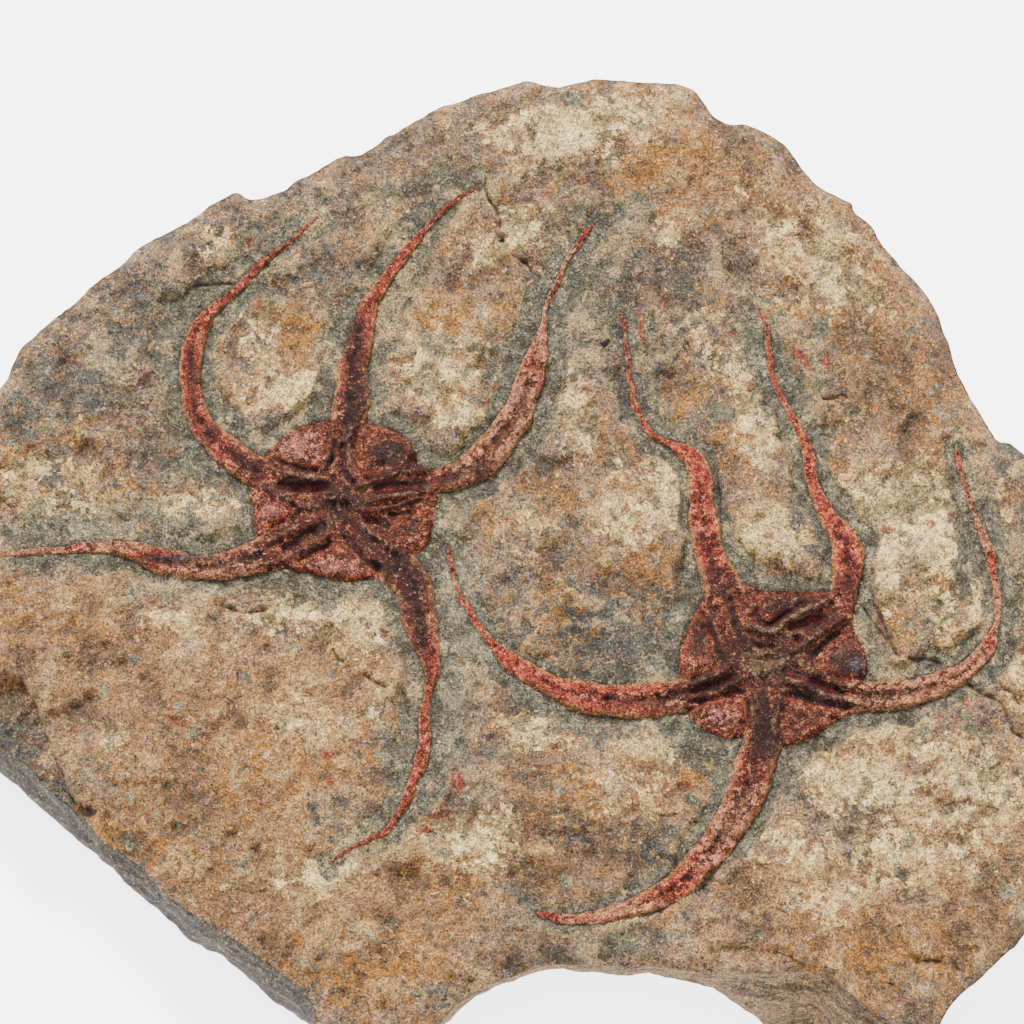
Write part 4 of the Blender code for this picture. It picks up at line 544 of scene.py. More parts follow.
# Mineral stains of the face by kind: x, y, half length, half width, turn in degrees, strength
STAINS = {
    "raw": [
        (-91, -17, 6, 4, -40, 1), (-84, -21, 6, 4.5, -40, 1), (-77, -30, 5, 3.6, -45, 1),
        (-78.5, -26, 4.5, 5, -40, 1), (-74, -31.5, 3.4, 5, 20, 1), (-69, -37, 2.6, 3, 0, 1),
    ],
    "warm": [
        (-50, -20, 24, 16, -20, 0.8), (-14, -40, 8, 12, 0, 0.6), (-36, -52, 14, 12, -30, 0.9),
        (-70, -4, 16, 8, 0, 0.6), (-60, -14, 26, 12, -20, 0.9), (-46, -28, 20, 14, -30, 1),
        (-30, -40, 14, 16, 0, 0.9), (-26, -18, 12, 10, 0, 0.8), (-20, -56, 20, 14, 0, 0.8),
        (60, -52, 26, 12, 0, 0.9), (76, -44, 14, 14, 0, 0.8), (30, -36, 10, 8, 0, 0.7),
        (10, -42, 12, 12, 0, 0.7), (62, -26, 14, 6, 0, 0.6), (24, 78, 18, 8, 0, 0.6),
        (74, 30, 8, 16, -20, 0.5), (60, 58, 18, 12, -40, 0.9), (78, 36, 8, 16, -20, 0.8),
        (74, 8, 6, 12, 0, 0.7), (30, 84, 12, 5, 0, 0.8), (-62, 2, 18, 6, 0, 0.5), (-4, 62, 8, 8, 0, 0.6),
        (40, 70, 14, 10, 0, 0.7), (2, 50, 5, 12, 10, 0.6), (-8, 40, 9, 10, 0, 0.5), (-34, 40, 5, 9, 0, 0.5),
        (24, 18, 8, 12, 0, 0.4), (45, 24, 4, 12, 0, 0.6), (68, 6, 4, 14, 0, 0.5), (-48, 12, 8, 3, 0, 0.5),
    ],
    "cream": [
        (-3, -42, 8, 7, 0, 0.7), (82, -6, 7, 8, 0, 0.6), (74, 8, 6, 11, -6, 0.9), (-74, 20, 10, 4, 5, 0.55),
        (-30, -24, 12, 5, 0, 0.35), (72, 16, 3.4, 7, -10, 0.8), (78, 8, 2.6, 8, -12, 0.7),
        (86, 10, 2, 12, -8, 0.5), (68, 9, 6, 11, 0, 0.9), (56, 56, 15, 8, -40, 0.65),
        (70, -44, 16, 8, 0, 0.5), (14, 79, 15, 5, 0, 0.8), (-50, 12, 14, 3, 5, 0.7),
        (-70, 14, 10, 3, 5, 0.5), (-4, 20, 3, 3, 0, 0.6), (-64, 12, 16, 2.4, 0, 0.5),
        (-56, 4, 10, 2, 0, 0.3), (24, -34, 9, 5, 0, 0.4), (-33, 32.5, 8, 3.6, 10, 1),
        (-8, 38, 9, 6, 30, 0.7), (-4, 29.5, 6, 3, 20, 0.8), (-38, 41, 4, 8, -10, 0.6),
        (5, 62, 5, 6, 20, 0.7), (-1, 57, 6, 4, 30, 0.6), (15, 31, 3.2, 9, 0, 0.9), (24, 13, 6, 8, 0, 0.6),
        (31, 17, 3.4, 7, -5, 0.8), (47.5, 9, 6, 5, 0, 1), (45, 26, 4, 8, 10, 0.7), (43.5, 36, 4, 8, 5, 0.6),
        (60.5, 15.5, 3.6, 4.5, 0, 0.8), (69, 13, 4, 9, -5, 0.8), (68, 2, 3, 7, 0, 0.6),
        (76, -4, 3.5, 5, 0, 0.7), (-50, 13, 8, 3, 5, 1), (-27, -4.5, 13, 3.5, 0, 0.9),
        (-52, -5, 9, 2.5, 0, 0.6), (-63, -24, 3, 3, 20, 0.4), (-24.5, -47.8, 5, 2.6, 10, 1.1),
        (-33, -47, 1.6, 2.6, 0, 0.9), (-28, -24, 2.4, 1.6, 0, 0.9), (63, -33, 14, 6, -5, 0.8),
        (82, -34, 9, 8, 0, 0.7), (50, -43, 6, 5, 30, 0.7), (74, -26, 9, 3, -5, 0.7),
        (66, -24.5, 6, 2, 0, 0.9), (88, -14, 4, 6, 0, 0.5), (12, 77, 12, 6, 5, 0.55),
        (24, 84, 8, 3, 0, 0.8), (-44, 60, 4, 3, 40, 0.5), (-12, 68, 5, 3, 35, 0.4), (6, 26, 3, 3, 0, 0.6),
        (2, 22, 2.5, 2, 0, 0.5), (36, 42, 4, 7, 20, 0.5), (31, 60, 5, 6, 0, 0.45), (62, 28, 3, 5, -10, 0.5),
        (-20, -8, 5, 4, 0, 0.7), (8, -24, 6, 2.4, -20, 0.8), (28, -27.5, 7, 2, -8, 0.7),
        (8, 8, 3, 5, 0, 0.4), (80, 12, 1.6, 8, -10, 0.4), (-17, -23, 1.6, 6, 0, 0.5),
        (57, -52, 7, 4, 0, 0.5), (-72, 11, 9, 1.4, 0, 0.4), (-44, 47, 2, 6, -30, 0.7),
    ],
    "ochre": [
        (-7, 46, 6, 5, 30, 1), (1, 46, 3, 3, 0, 0.9), (-31, 44, 4, 6, 20, 0.9), (-37, 36, 3, 3, 0, 0.5),
        (14, 15, 7, 4, -20, 0.6), (25, 4, 6, 6, 0, 0.7), (11, -3, 7, 5, 0, 0.5), (40, 24, 4, 5, 0, 0.6),
        (26, 72, 7, 4, 20, 0.8), (12, 70, 6, 4, 0, 0.4), (60, 50, 9, 9, -40, 0.5), (74, 33, 6, 9, -20, 0.4),
        (34, 32, 4, 6, 0, 0.5), (75, 0, 3, 8, 0, 0.7), (70, -7, 3, 3, 0, 0.8), (78, 20, 2, 5, 0, 0.6),
        (-62, -42, 3.4, 3, -40, 1.2), (-20, -63, 14, 7, 0, 0.8), (-4, -48, 9, 8, 0, 0.6),
        (16, -33, 8, 5, 0, 0.5), (34, -31.5, 2.4, 2, 0, 1.1), (-35, -30, 16, 11, 10, 0.5),
        (-54, -44, 10, 6, -35, 0.6), (65, -62, 14, 7, 0, 0.6), (60, -30, 3, 3, 0, 0.6),
        (-70, -6, 12, 4, 0, 0.5), (-78, 24, 6, 6, 0, 0.4), (-66, 25, 7, 3, 0, 0.4), (88, -24, 4, 6, 0, 0.5),
        (36, 73, 5, 5, 0, 0.6), (47, 70, 5, 4, 0, 0.4), (-4, 34, 4, 3, 0, 0.5), (-12, 26.5, 2, 1.6, 0, 0.7),
        (-18, -28, 2, 2, 0, 0.6), (54, 14, 1.4, 4, 0, 0.4), (0, 14, 3, 4, 0, 0.5),
    ],
    "rust": [
        (-38.8, 33.3, 1.1, 0.9, 0, 1), (-52.5, 23.5, 2.0, 1.6, 0, 0.7), (67, 9.3, 1.3, 1, 0, 1),
        (74.3, 10.5, 0.9, 0.8, 0, 1), (60.5, 18.5, 0.8, 0.8, 0, 1), (46.8, 8.4, 1.2, 1, 0, 0.9),
        (33, -33.3, 2.2, 0.9, -15, 1), (-40, 59.7, 1.2, 0.6, 20, 1), (-24, 60, 1, 0.6, 0, 0.7),
        (25.8, 45.5, 0.8, 5, 0, 0.8), (22.6, 37, 0.5, 5, 0, 0.5), (10, -11.8, 6, 0.7, -22, 0.7),
        (17.2, 70.4, 2, 1, 0, 0.6), (7, 57, 2.4, 0.5, -35, 0.7), (-38, -37, 3, 2, 0, 0.5),
        (-52, -22, 3, 1.6, 0, 0.7), (-9, 50, 2, 1.4, 0, 0.6), (2, 35, 1.6, 1.2, 0, 0.6),
        (-7, 30, 2, 1.2, 0, 0.5), (57.5, 38.5, 1.0, 1.6, 0, 1.0), (52.6, 40, 0.9, 3.0, 15, 1.2),
        (2.4, 62.6, 0.5, 1.6, -10, 1), (47.8, 2.6, 3, 0.6, 0, 0.9), (76, 6.8, 1.2, 0.5, -45, 0.9),
        (79.3, -20, 0.5, 1.2, 0, 1), (77.5, -22.2, 0.6, 0.6, 0, 1), (40.5, 67, 4, 3, 0, 0.4),
        (14, 60, 2, 1, 30, 0.5), (3, -26, 3, 2, 0, 0.3), (-66, 56, 3, 2, 0, 0.3),
    ],
    "red": [
        (-25.3, -28.5, 1.6, 1.2, 0, 1), (-25.4, -32.7, 0.9, 1.0, 0, 0.9), (-5, -33, 1.2, 1.8, 10, 1),
        (-7.6, -38.1, 2.4, 0.8, 8, 1.1), (-9.3, -41.3, 1.1, 1.3, 0, 0.9), (-12.6, -43.8, 0.9, 0.7, 0, 0.8),
        (-13.2, -44.6, 0.6, 1.2, 0, 0.6), (4.6, 10.9, 2.0, 0.7, 12, 1.1), (2.3, 3.4, 0.5, 1.1, 25, 0.9),
        (4.2, -4.5, 1.0, 0.8, 0, 0.6), (28.9, 48.4, 0.4, 1.7, 20, 1.2), (42.1, 42.5, 0.4, 1.8, 0, 0.9),
        (57.2, 38.1, 0.7, 0.9, 0, 1), (52.8, 39.4, 0.6, 2.2, 15, 1.1), (-43.8, 10.4, 3.2, 0.9, 0, 0.6),
        (-15, -15.6, 0.8, 0.7, 0, 0.8), (-48.2, 17.2, 1.2, 0.3, -8, 0.8), (21.8, 59.7, 0.9, 0.8, 0, 0.8),
        (88.8, 5.4, 0.3, 2.8, -10, 0.6), (-20.2, -33, 0.8, 1.0, 0, 0.5), (-2, 1.6, 1.2, 1.2, 0, 0.35),
        (0.8, -6.4, 0.8, 1.2, 0, 0.3),
    ],
    "slate": [
        (-67, 37, 15, 8, 40, 0.75), (-77, 29, 7, 6, 0, 0.7), (-58, 50, 6, 4, 40, 0.6),
        (-30, 56, 9, 3, 40, 0.5), (20, -4, 12, 6, -8, 0.9), (24, -11, 10, 4, 0, 0.9),
        (7, -5, 6, 5, -30, 0.6), (4, 3, 5, 6, 0, 0.4), (-24.5, -38, 5, 4.5, 0, 0.9),
        (61, -44, 2.4, 3.4, 0, 0.9), (27, -42, 6, 5, 30, 0.8), (14, -41, 6, 4, 0, 0.5),
        (62, 47, 5, 6, -30, 0.4), (50, 56, 9, 6, -30, 0.5), (36, 55, 6, 6, 0, 0.5), (22, 60, 6, 8, 0, 0.7),
        (84, 12, 3, 8, -10, 0.8), (91, 4, 3.4, 14, 0, 0.8), (87, 22, 4, 5, 0, 0.8),
        (-25, -64, 12, 6, 20, 0.6), (-8, -68, 7, 4, 0, 0.6), (-60, 18, 14, 3, 5, 0.5),
        (-38, 27.5, 5, 1.6, 10, 0.8), (-28, 52, 5, 4, 40, 0.5), (8, 50, 2, 7, 15, 0.7),
        (38, 8, 1.2, 8, 0, 0.5), (30, -58.5, 6, 2.0, 10, 0.6), (76, -44, 8, 5, 0, 0.6),
        (90, -42, 4, 8, 0, 0.4), (70, -52, 10, 4, 0, 0.5), (12, 84, 7, 2.6, 0, 0.5),
        (20, 80, 5, 3, 0, 0.45), (-16, 60, 3, 4, 40, 0.4), (-43, 30, 1.2, 4, 0, 0.4),
        (-8, -55, 4, 3, 0, 0.4), (5, 68, 4, 2, 0, 0.4), (15, 65, 4, 3, 0, 0.5), (-78, -24, 6, 6, 0, 0.55),
        (-84, -22, 6, 5, 0, 0.5), (-70, -34, 3, 4, 0, 0.6), (56, 26, 1.4, 8, -15, 0.6),
    ],
    "plum": [
        (12, 3, 6, 4, 0, 0.6), (14, 10, 5, 3, -20, 0.4), (74, 11, 4, 6, 0, 0.6), (66, 20, 4, 5, 0, 0.5),
        (-70, 3, 12, 1.6, 0, 0.9), (45, 18, 3, 4, 0, 0.5), (30, -4, 5, 4, 0, 0.5), (-58, 32, 8, 8, 0, 0.4),
        (40, 60, 10, 6, 0, 0.4), (-20, 68, 10, 3, 30, 0.4), (22, -36, 8, 4, 0, 0.4),
        (52, -30, 5, 4, 0, 0.4), (8, -30, 5, 3, 0, 0.3),
    ],
    "umber": [
        (68, 35, 10, 9, -30, 1), (61, 25, 5, 6, 0, 0.7), (58, 60, 9, 6, -35, 0.7), (46, 68, 9, 5, -20, 0.5),
        (-40, -50, 17, 9, -35, 0.9), (-30, -62, 14, 8, -30, 0.7), (-56, -36, 8, 5, -35, 0.6),
        (-46, -20, 9, 5, -20, 0.6), (-66, -12, 12, 3, 0, 0.5), (62, -60, 14, 6, 0, 0.7),
        (80, -54, 8, 8, 0, 0.6), (20, 6, 9, 6, 0, 0.5), (-82, 18, 8, 8, 0, 0.7), (-86, 6, 8, 6, 0, 0.6),
        (-74, 3, 10, 2, 0, 0.7), (32, 70, 8, 4, 0, 0.5), (0, -50, 9, 6, 0, 0.6), (20, -36, 9, 5, 0, 0.6),
        (74, 22, 3, 6, -20, 0.7), (-64, 44, 9, 6, 40, 0.5),
    ],
    "faded": [  # paler stretches of the channels
        (-5.5, -4, 4, 12, 0, 1), (-5, -22, 3, 9, 0, 0.9), (-60, 11, 16, 3, 0, 0.8),
        (-50, 0, 10, 1.6, 0, 0.5), (-16, -30, 2, 6, 5, 0.6), (28, -25, 8, 2, 0, 0.6),
        (48, -31, 3, 5, 0, 0.7), (64, 4, 2, 8, 0, 0.6), (46, 42, 2, 6, 0, 0.4), (0, 47, 4, 6, 0, 0.5),
        (-48, 10, 9, 2.4, 0, 0.9),
    ],
    "grey": [
        (-26.5, 38, 2.6, 9, 0, 1), (-9, 70.5, 9, 2.2, 12, 0.9), (16, 60, 4, 7, -20, 0.9),
        (13.5, 42, 2.2, 6, -10, 0.9), (4.6, 35, 2.4, 7, -20, 0.9), (-6, 41, 4, 3, 0, 0.6),
        (-15, 61, 3, 5, -40, 0.7), (56, 44, 1.6, 4, 10, 0.9), (47, 36, 2.4, 8, -5, 0.7),
        (33, 50, 2, 6, 15, 0.7), (21, 46, 2.4, 6, 0, 0.8), (-24, 46, 2.4, 8, -10, 0.8),
        (-38, 56, 3, 6, -42, 0.8), (25.5, 66, 3.2, 3.6, 0, 1), (22.5, 58, 2.2, 5, -20, 0.9),
        (17, 50, 3.4, 6, 10, 0.8), (16, 40, 2.4, 6, 0, 0.6), (27, 36, 3, 7, -10, 0.7),
        (30, 28.5, 3.6, 2, -30, 0.8), (-53, 49, 3, 2.6, 20, 1), (-54, 38, 3, 9, 5, 0.8),
        (-50, 24, 5, 6, 30, 0.9), (-60, 11.5, 14, 2.6, 0, 0.8), (-75, 11, 8, 1.6, 0, 0.7),
        (-5, -4, 3.6, 11, 10, 1), (-5, -24, 2.6, 9, 5, 0.9), (-16, -30, 2, 6, 5, 0.6),
        (-4, -15, 3, 4, 0, 1), (54.5, 37, 2.4, 4.5, -15, 0.9), (50, 45, 2, 3, 0, 0.6),
        (64, 7, 1.4, 7, 5, 0.7), (80, 5, 2.2, 6, -15, 0.9), (36, -26.5, 7, 3.4, -15, 0.9),
        (36.5, -37, 2.6, 5, 35, 0.8), (50, -32, 2.6, 4, 10, 0.7), (20, -60, 9, 2.4, 0, 0.6),
        (5, -51, 5, 1, -20, 0.9), (20, -24, 9, 1.6, -4, 0.6), (44, 44, 2, 6, 0, 0.8),
        (35, 47, 2, 5, 20, 0.5), (-24, 36, 3, 8, 0, 0.6), (-38, 62, 6, 2.2, 40, 0.8),
        (0.5, 40, 2.2, 6, 10, 0.5), (-47, 19, 5, 2, 0, 0.9), (60, -22.5, 5, 2, 10, 0.7),
        (38.5, 30, 2, 7, 0, 0.4), (-30, -2, 8, 1.5, 0, 0.5), (82, -24.5, 6, 1.5, -15, 0.5),
        (12, 84.5, 5, 1.6, 0, 0.5),
    ],
}

# Dark and bright stretches of the fossils: x, y, half length, half width, turn in degrees, strength
FOSSIL_TONES = {
    "dusk": [  # near-black purple
        (-22, 42, 1.8, 10, 5, 0.9), (-21.8, 33, 2.2, 7, 0, 1), (-49.4, 38, 1.2, 8, 0, 0.6),
        (-46, 26.4, 2, 4, -40, 0.5), (-12, -1.5, 2.4, 6, -10, 0.9), (-11, -7, 1.6, 6, 5, 0.8),
        (-15, 4, 3, 3, 0, 0.9), (-51, 4.6, 9, 0.9, 0, 0.8), (-45, 3.2, 4, 1, 0, 0.4),
        (-40, 21, 4, 1, -38, 0.5), (-48.8, 31, 1, 6, 0, 0.45), (-16.5, 22.5, 3.2, 2.8, 0, 1),
        (-24, 14.5, 4, 3, 0, 0.9), (-14.4, 17.2, 4, 1.2, 3, 1), (-30.5, 17.3, 5, 1.2, 2, 0.9),
        (-19, 8, 4, 1.4, -40, 0.8), (-13.5, 9.5, 4, 1.2, 15, 0.6), (-27, 10, 4, 1.2, 30, 0.6),
        (-1, 19.5, 2.6, 1.4, 35, 0.8), (-6, 18.4, 3, 1, 12, 0.6), (6, 32, 0.8, 3, -20, 0.4),
        (46, -12.5, 6, 5, 0, 1), (35.2, -8.5, 1.6, 4, 8, 0.7), (50, -3, 5, 1.8, 8, 0.9),
        (60, -12, 3.4, 2.4, 10, 0.9), (47, -24, 3, 5, 0, 0.9), (54, -18.4, 5, 1, -14, 0.8),
        (38, -16.6, 5, 1.2, 18, 0.7), (41, -4, 1, 4, 10, 0.6), (37, 3, 1, 6, -5, 0.4),
        (42, -33, 1.6, 4, 20, 0.3), (54.5, -6.4, 4, 1.2, 25, 0.7), (61, 0, 1.4, 4, 0, 0.4),
        (40, -12, 3, 2, 0, 0.7), (-12, 22, 2, 3, 0, 0.5), (-23.6, 27, 1, 4, 0, 0.8),
        (25, -20.2, 8, 0.6, 0, 0.4), (10, -16.4, 8, 0.6, -28, 0.3), (70, -17.4, 8, 0.5, 4, 0.5),
        (-9.6, -14, 1, 3, 0, 0.5), (52, -22, 3, 1.5, -20, 0.4), (8.6, 38, 0.8, 3, 10, 0.3),
    ],
    "flame": [  # orange-red
        (-30, 27.6, 5, 1.0, 8, 0.9), (-35.5, 24.6, 2.4, 0.8, 50, 0.8), (-15, 26.4, 4, 0.9, -30, 0.8),
        (-18.7, 11.2, 2, 0.7, -10, 1), (-22.6, 47, 1, 5, 0, 0.7), (-18.9, 44, 0.6, 6, 5, 0.5),
        (9.4, 46, 1, 6, 10, 0.7), (14, 57, 1, 5, 25, 0.8), (-35, 57.6, 7, 0.9, 42, 0.7),
        (24, 40, 1, 8, 0, 0.8), (47.5, 40, 1, 8, 0, 0.8), (51.5, 28, 1, 6, -15, 0.5),
        (80.5, 16, 0.8, 8, -8, 0.7), (84.6, 2, 0.8, 6, 0, 0.5), (-10.5, -27, 0.9, 7, 5, 0.7),
        (-16, -40.5, 4, 0.8, 25, 0.8), (-3.5, -2.5, 1, 5, 20, 0.6), (-14, 17.6, 3, 0.5, 4, 0.6),
        (-32.3, 12.6, 1, 1.4, 0, 0.8), (33, -9, 0.7, 4, 0, 0.6), (34.6, -4, 0.8, 2.4, -25, 0.7),
        (-26, 3, 5, 1, -5, 0.5), (-3.5, 16.8, 3, 0.5, 12, 0.8), (60, 9, 1.2, 4, 0, 0.4),
        (36, 22, 1, 2, 0, 0.4), (28, 26, 3, 0.7, -35, 0.5), (45, -27.5, 2, 1.6, 0, 0.6),
        (12, -55.2, 5, 0.8, 0, 0.5),
    ],
    "rose": [  # pinkish mauve
        (-31, 24, 3.6, 2.4, 10, 0.9), (-25, 3.6, 5, 1.6, -5, 0.7), (-35.6, 13, 2.4, 1.8, -10, 0.9),
        (-5, 19.6, 2, 1.2, 10, 0.5), (38.6, -22, 3.6, 2.4, 0, 0.6), (58, -11, 3, 1.6, 0, 0.5),
        (-32, 5.5, 3, 1.2, 20, 0.6), (5.4, 30.5, 1.6, 4, -25, 0.4), (36.2, 14, 1.2, 6, 0, 0.35),
        (30, -19.6, 6, 0.8, 0, 0.4), (-49.4, 40, 1, 6, 0, 0.3), (40, -42, 1.6, 5, 35, 0.3),
    ],
    "tan": [  # buff, as the stone
        (46, -13.5, 5, 3, 0, 1), (53, -4.2, 3.6, 0.8, 32, 1), (49, -8, 4, 1.4, 0, 0.7),
        (53, -10, 2.6, 1.0, 30, 0.9), (53, -13.4, 2.6, 0.8, -28, 0.8), (50, -17.6, 2, 1.0, -15, 1),
        (45.6, -19.6, 1.6, 3, 0, 0.7), (44, -20.4, 0.6, 3, 0, 0.9), (47.8, -23, 0.6, 1.6, 0, 0.9),
        (42.8, -6.6, 2.4, 1.2, 0, 0.6), (59, -9.6, 1.4, 1.6, 0, 0.5), (-26.2, 22, 0.5, 3.2, -10, 0.9),
        (-31, 18.9, 3.2, 0.5, 0, 0.6), (-14.6, 19.4, 4, 0.6, 14, 0.8), (-38.4, 21.4, 1.4, 1, -30, 0.6),
        (-41.6, 24.6, 1.4, 1, -30, 0.6), (36.4, -15, 2.4, 0.6, 20, 0.6), (-26.4, 13.6, 2, 1, 0, 0.4),
    ],
    "worn": [  # pale sandy pink
        (14, 57, 1.6, 8, 25, 0.9), (9.6, 44, 1.8, 7, 5, 0.9), (5.5, 31, 2.8, 6, -25, 0.9),
        (3, 25.5, 3.6, 5, -30, 1), (-3, 20, 4, 2, 30, 0.6), (-78, 6, 12, 1.4, 0, 0.9),
        (-62, 6.8, 5, 1.4, 0, 0.7), (-46, 3.4, 8, 2, 0, 0.75), (82, 9, 2, 11, -10, 0.8),
        (85, -4, 1.8, 6, 0, 0.9), (80, -13.5, 5, 2, 35, 0.9), (71, -17.8, 10, 2.8, 8, 1),
        (22, -54, 10, 1.8, 8, 0.75), (40, -40, 3.4, 9, -30, 0.8), (26, -19.2, 8, 1.4, 0, 0.3),
        (-10, -6, 2.4, 5, 0, 0.4),
    ],
    "slate": [  # bluish grey
        (62, -13, 1.6, 2, 0, 1), (-50, 5, 8, 0.5, 0, 0.8), (-16.5, 22.6, 2, 1.6, 0, 0.35),
        (36, -10.5, 1.2, 2.4, 0, 0.4), (-26, 15, 2, 1, 0, 0.3),
    ],
}


# ---- curves and distances

def smooth_path(points, step, closed=False):
    """A Catmull-Rom curve through the points, with a point about every step along it."""
    pts = np.array(points, float)
    if closed:
        ring = np.vstack([pts[-1:], pts, pts[:2]])
    else:
        ring = np.vstack([2 * pts[0] - pts[1], pts, 2 * pts[-1] - pts[-2]])
    fine = []
    for a, b, c, d in zip(ring[:-3], ring[1:-2], ring[2:-1], ring[3:]):
        for t in np.linspace(0, 1, 12, endpoint=False):
            curve = 2 * b + (c - a) * t + (2 * a - 5 * b + 4 * c - d) * t**2 + (3 * b - a - 3 * c + d) * t**3
            fine.append(0.5 * curve)
    fine.append(pts[0] if closed else pts[-1])
    fine = np.array(fine)
    gone = np.concatenate([[0], np.cumsum(np.hypot(*np.diff(fine[:, :2], axis=0).T))])
    count = max(2, round(gone[-1] / step) + 1)
    at = np.linspace(0, gone[-1], count)
    path = np.column_stack([np.interp(at, gone, fine[:, k]) for k in range(fine.shape[1])])
    return path[:-1] if closed else path


def normals_of(path):
    """Unit normals to the left of a path in plan."""
    run = np.gradient(path[:, :2], axis=0)
    run /= np.linalg.norm(run, axis=1)[:, None]
    return np.column_stack([-run[:, 1], run[:, 0]])


def ring_normals(ring):
    """Unit normals to the left of a closed outline."""
    return normals_of(np.vstack([ring[-1:], ring, ring[:1]]))[1:-1]


def along(path, xy):
    """Each point's distance to a path, its place along it (0 to 1), its side (+1 is left) and half width."""
    if len(xy) > 1.2 * AT_ONCE:
        parts = [along(path, part) for part in np.array_split(xy, len(xy) // AT_ONCE + 1)]
        return [np.concatenate([np.broadcast_to(p[k], len(p[0])) for p in parts]) for k in range(4)]
    a = path[:-1, :2]
    leg = path[1:, :2] - a
    size = (leg**2).sum(1)
    away = xy[:, None, :] - a[None]
    t = np.clip((away * leg).sum(2) / size, 0, 1)
    gap = np.hypot(*np.moveaxis(away - t[..., None] * leg, 2, 0))
    best = gap.argmin(1)
    row = np.arange(len(xy))
    place = t[row, best]
    start = np.concatenate([[0], np.cumsum(np.sqrt(size))])
    gone = (start[best] + place * np.sqrt(size)[best]) / start[-1]
    cross = leg[best, 0] * away[row, best, 1] - leg[best, 1] * away[row, best, 0]
    half = 0.0
    if path.shape[1] > 2:
        half = path[best, 2] * (1 - place) + path[best + 1, 2] * place
    return gap[row, best], gone, np.where(cross >= 0, 1.0, -1.0), half


def inside(ring, xy):
    """Whether each point lies in a closed outline."""
    x, y = xy[:, 0], xy[:, 1]
    hit = np.zeros(len(xy), bool)
    for (x0, y0), (x1, y1) in zip(ring, np.roll(ring, -1, axis=0)):
        over = (y0 > y) != (y1 > y)
        if y0 != y1:
            hit ^= over & (x < (x1 - x0) * (y - y0) / (y1 - y0) + x0)
    return hit


def edge_distance(ring, xy):
    """Signed distance to a closed outline, positive outside it."""
    closed = np.vstack([ring, ring[:1]])
    gap = along(closed, xy)[0]
    return np.where(inside(ring, xy), -gap, gap)


def soft(value):
    """Smooth step from 0 at 0 to 1 at 1."""
    value = np.clip(value, 0, 1)
    return value * value * (3 - 2 * value)


def open_ends(gone, share):
    """1 along a line, falling to 0 at its two ends over a given share of its length."""
    return soft(gone / share) * soft((1 - gone) / share)


def rough(xy, size, seed):
    """Smooth value noise from -1 to 1 with bumps about the given size across."""
    cells = NOISE_CELLS
    table = np.random.default_rng(SEED + seed).uniform(-1, 1, (cells, cells))
    at = xy / size + 1000.0
    cell = np.floor(at).astype(int)
    u = soft(at - cell)
    x0, y0 = cell[:, 0] % cells, cell[:, 1] % cells
    x1, y1 = (x0 + 1) % cells, (y0 + 1) % cells
    low = table[x0, y0] * (1 - u[:, 0]) + table[x1, y0] * u[:, 0]
    high = table[x0, y1] * (1 - u[:, 0]) + table[x1, y1] * u[:, 0]
    return low * (1 - u[:, 1]) + high * u[:, 1]


def craggy(xy, size, seed, layers=4):
    """Value noise in layers, each half the size and about half the height of the one before."""
    total, share = np.zeros(len(xy)), 1.0
    for k in range(layers):
        total += share * rough(xy * (1 + 0.013 * k), size / 2**k, seed + k)
        share *= 0.52
    return total


def mound(xy, x, y, length, width, turn):
    """A smooth oval mound, 1 at its middle and 0 at about twice its half length and half width."""
    angle = math.radians(turn)
    away = xy - (x, y)
    u = (away[:, 0] * math.cos(angle) + away[:, 1] * math.sin(angle)) / length
    v = (away[:, 1] * math.cos(angle) - away[:, 0] * math.sin(angle)) / width
    return np.exp(-(u**2 + v**2))


# ---- the stars in plan

def arm_line(arm, step):
    """An arm's centre line and half widths from its tip to the disc."""
    return smooth_path(arm["path"], step)


def arm_sides(path):
    """The left and right edges of an arm."""
    out = normals_of(path) * path[:, 2:3]
    return path[:, :2] + out, path[:, :2] - out


def arm_root(arm):
    """The left and right end of an arm's edges, where it meets the disc."""
    return [side[-1] for side in arm_sides(arm_line(arm, 1.0))]


def web_line(star, index, step):
    """The disc's edge from an arm to the next one."""
    arms = star["arms"]
    right, left = arm_root(arms[index])[1], arm_root(arms[(index + 1) % len(arms)])[0]
    return smooth_path([tuple(right), *arms[index]["web"], tuple(left)], step)


def disc_ring(star, step=0.35):
    """Outline of a disc, with its arms cut off square."""
    ring = []
    for index, arm in enumerate(star["arms"]):
        left, right = arm_root(arm)
        cut = np.linspace(left, right, max(3, int(np.hypot(*(right - left)) / step)))
        ring += [*cut[:-1], *web_line(star, index, step)[:-1]]
    return np.array(ring)


# ---- the face

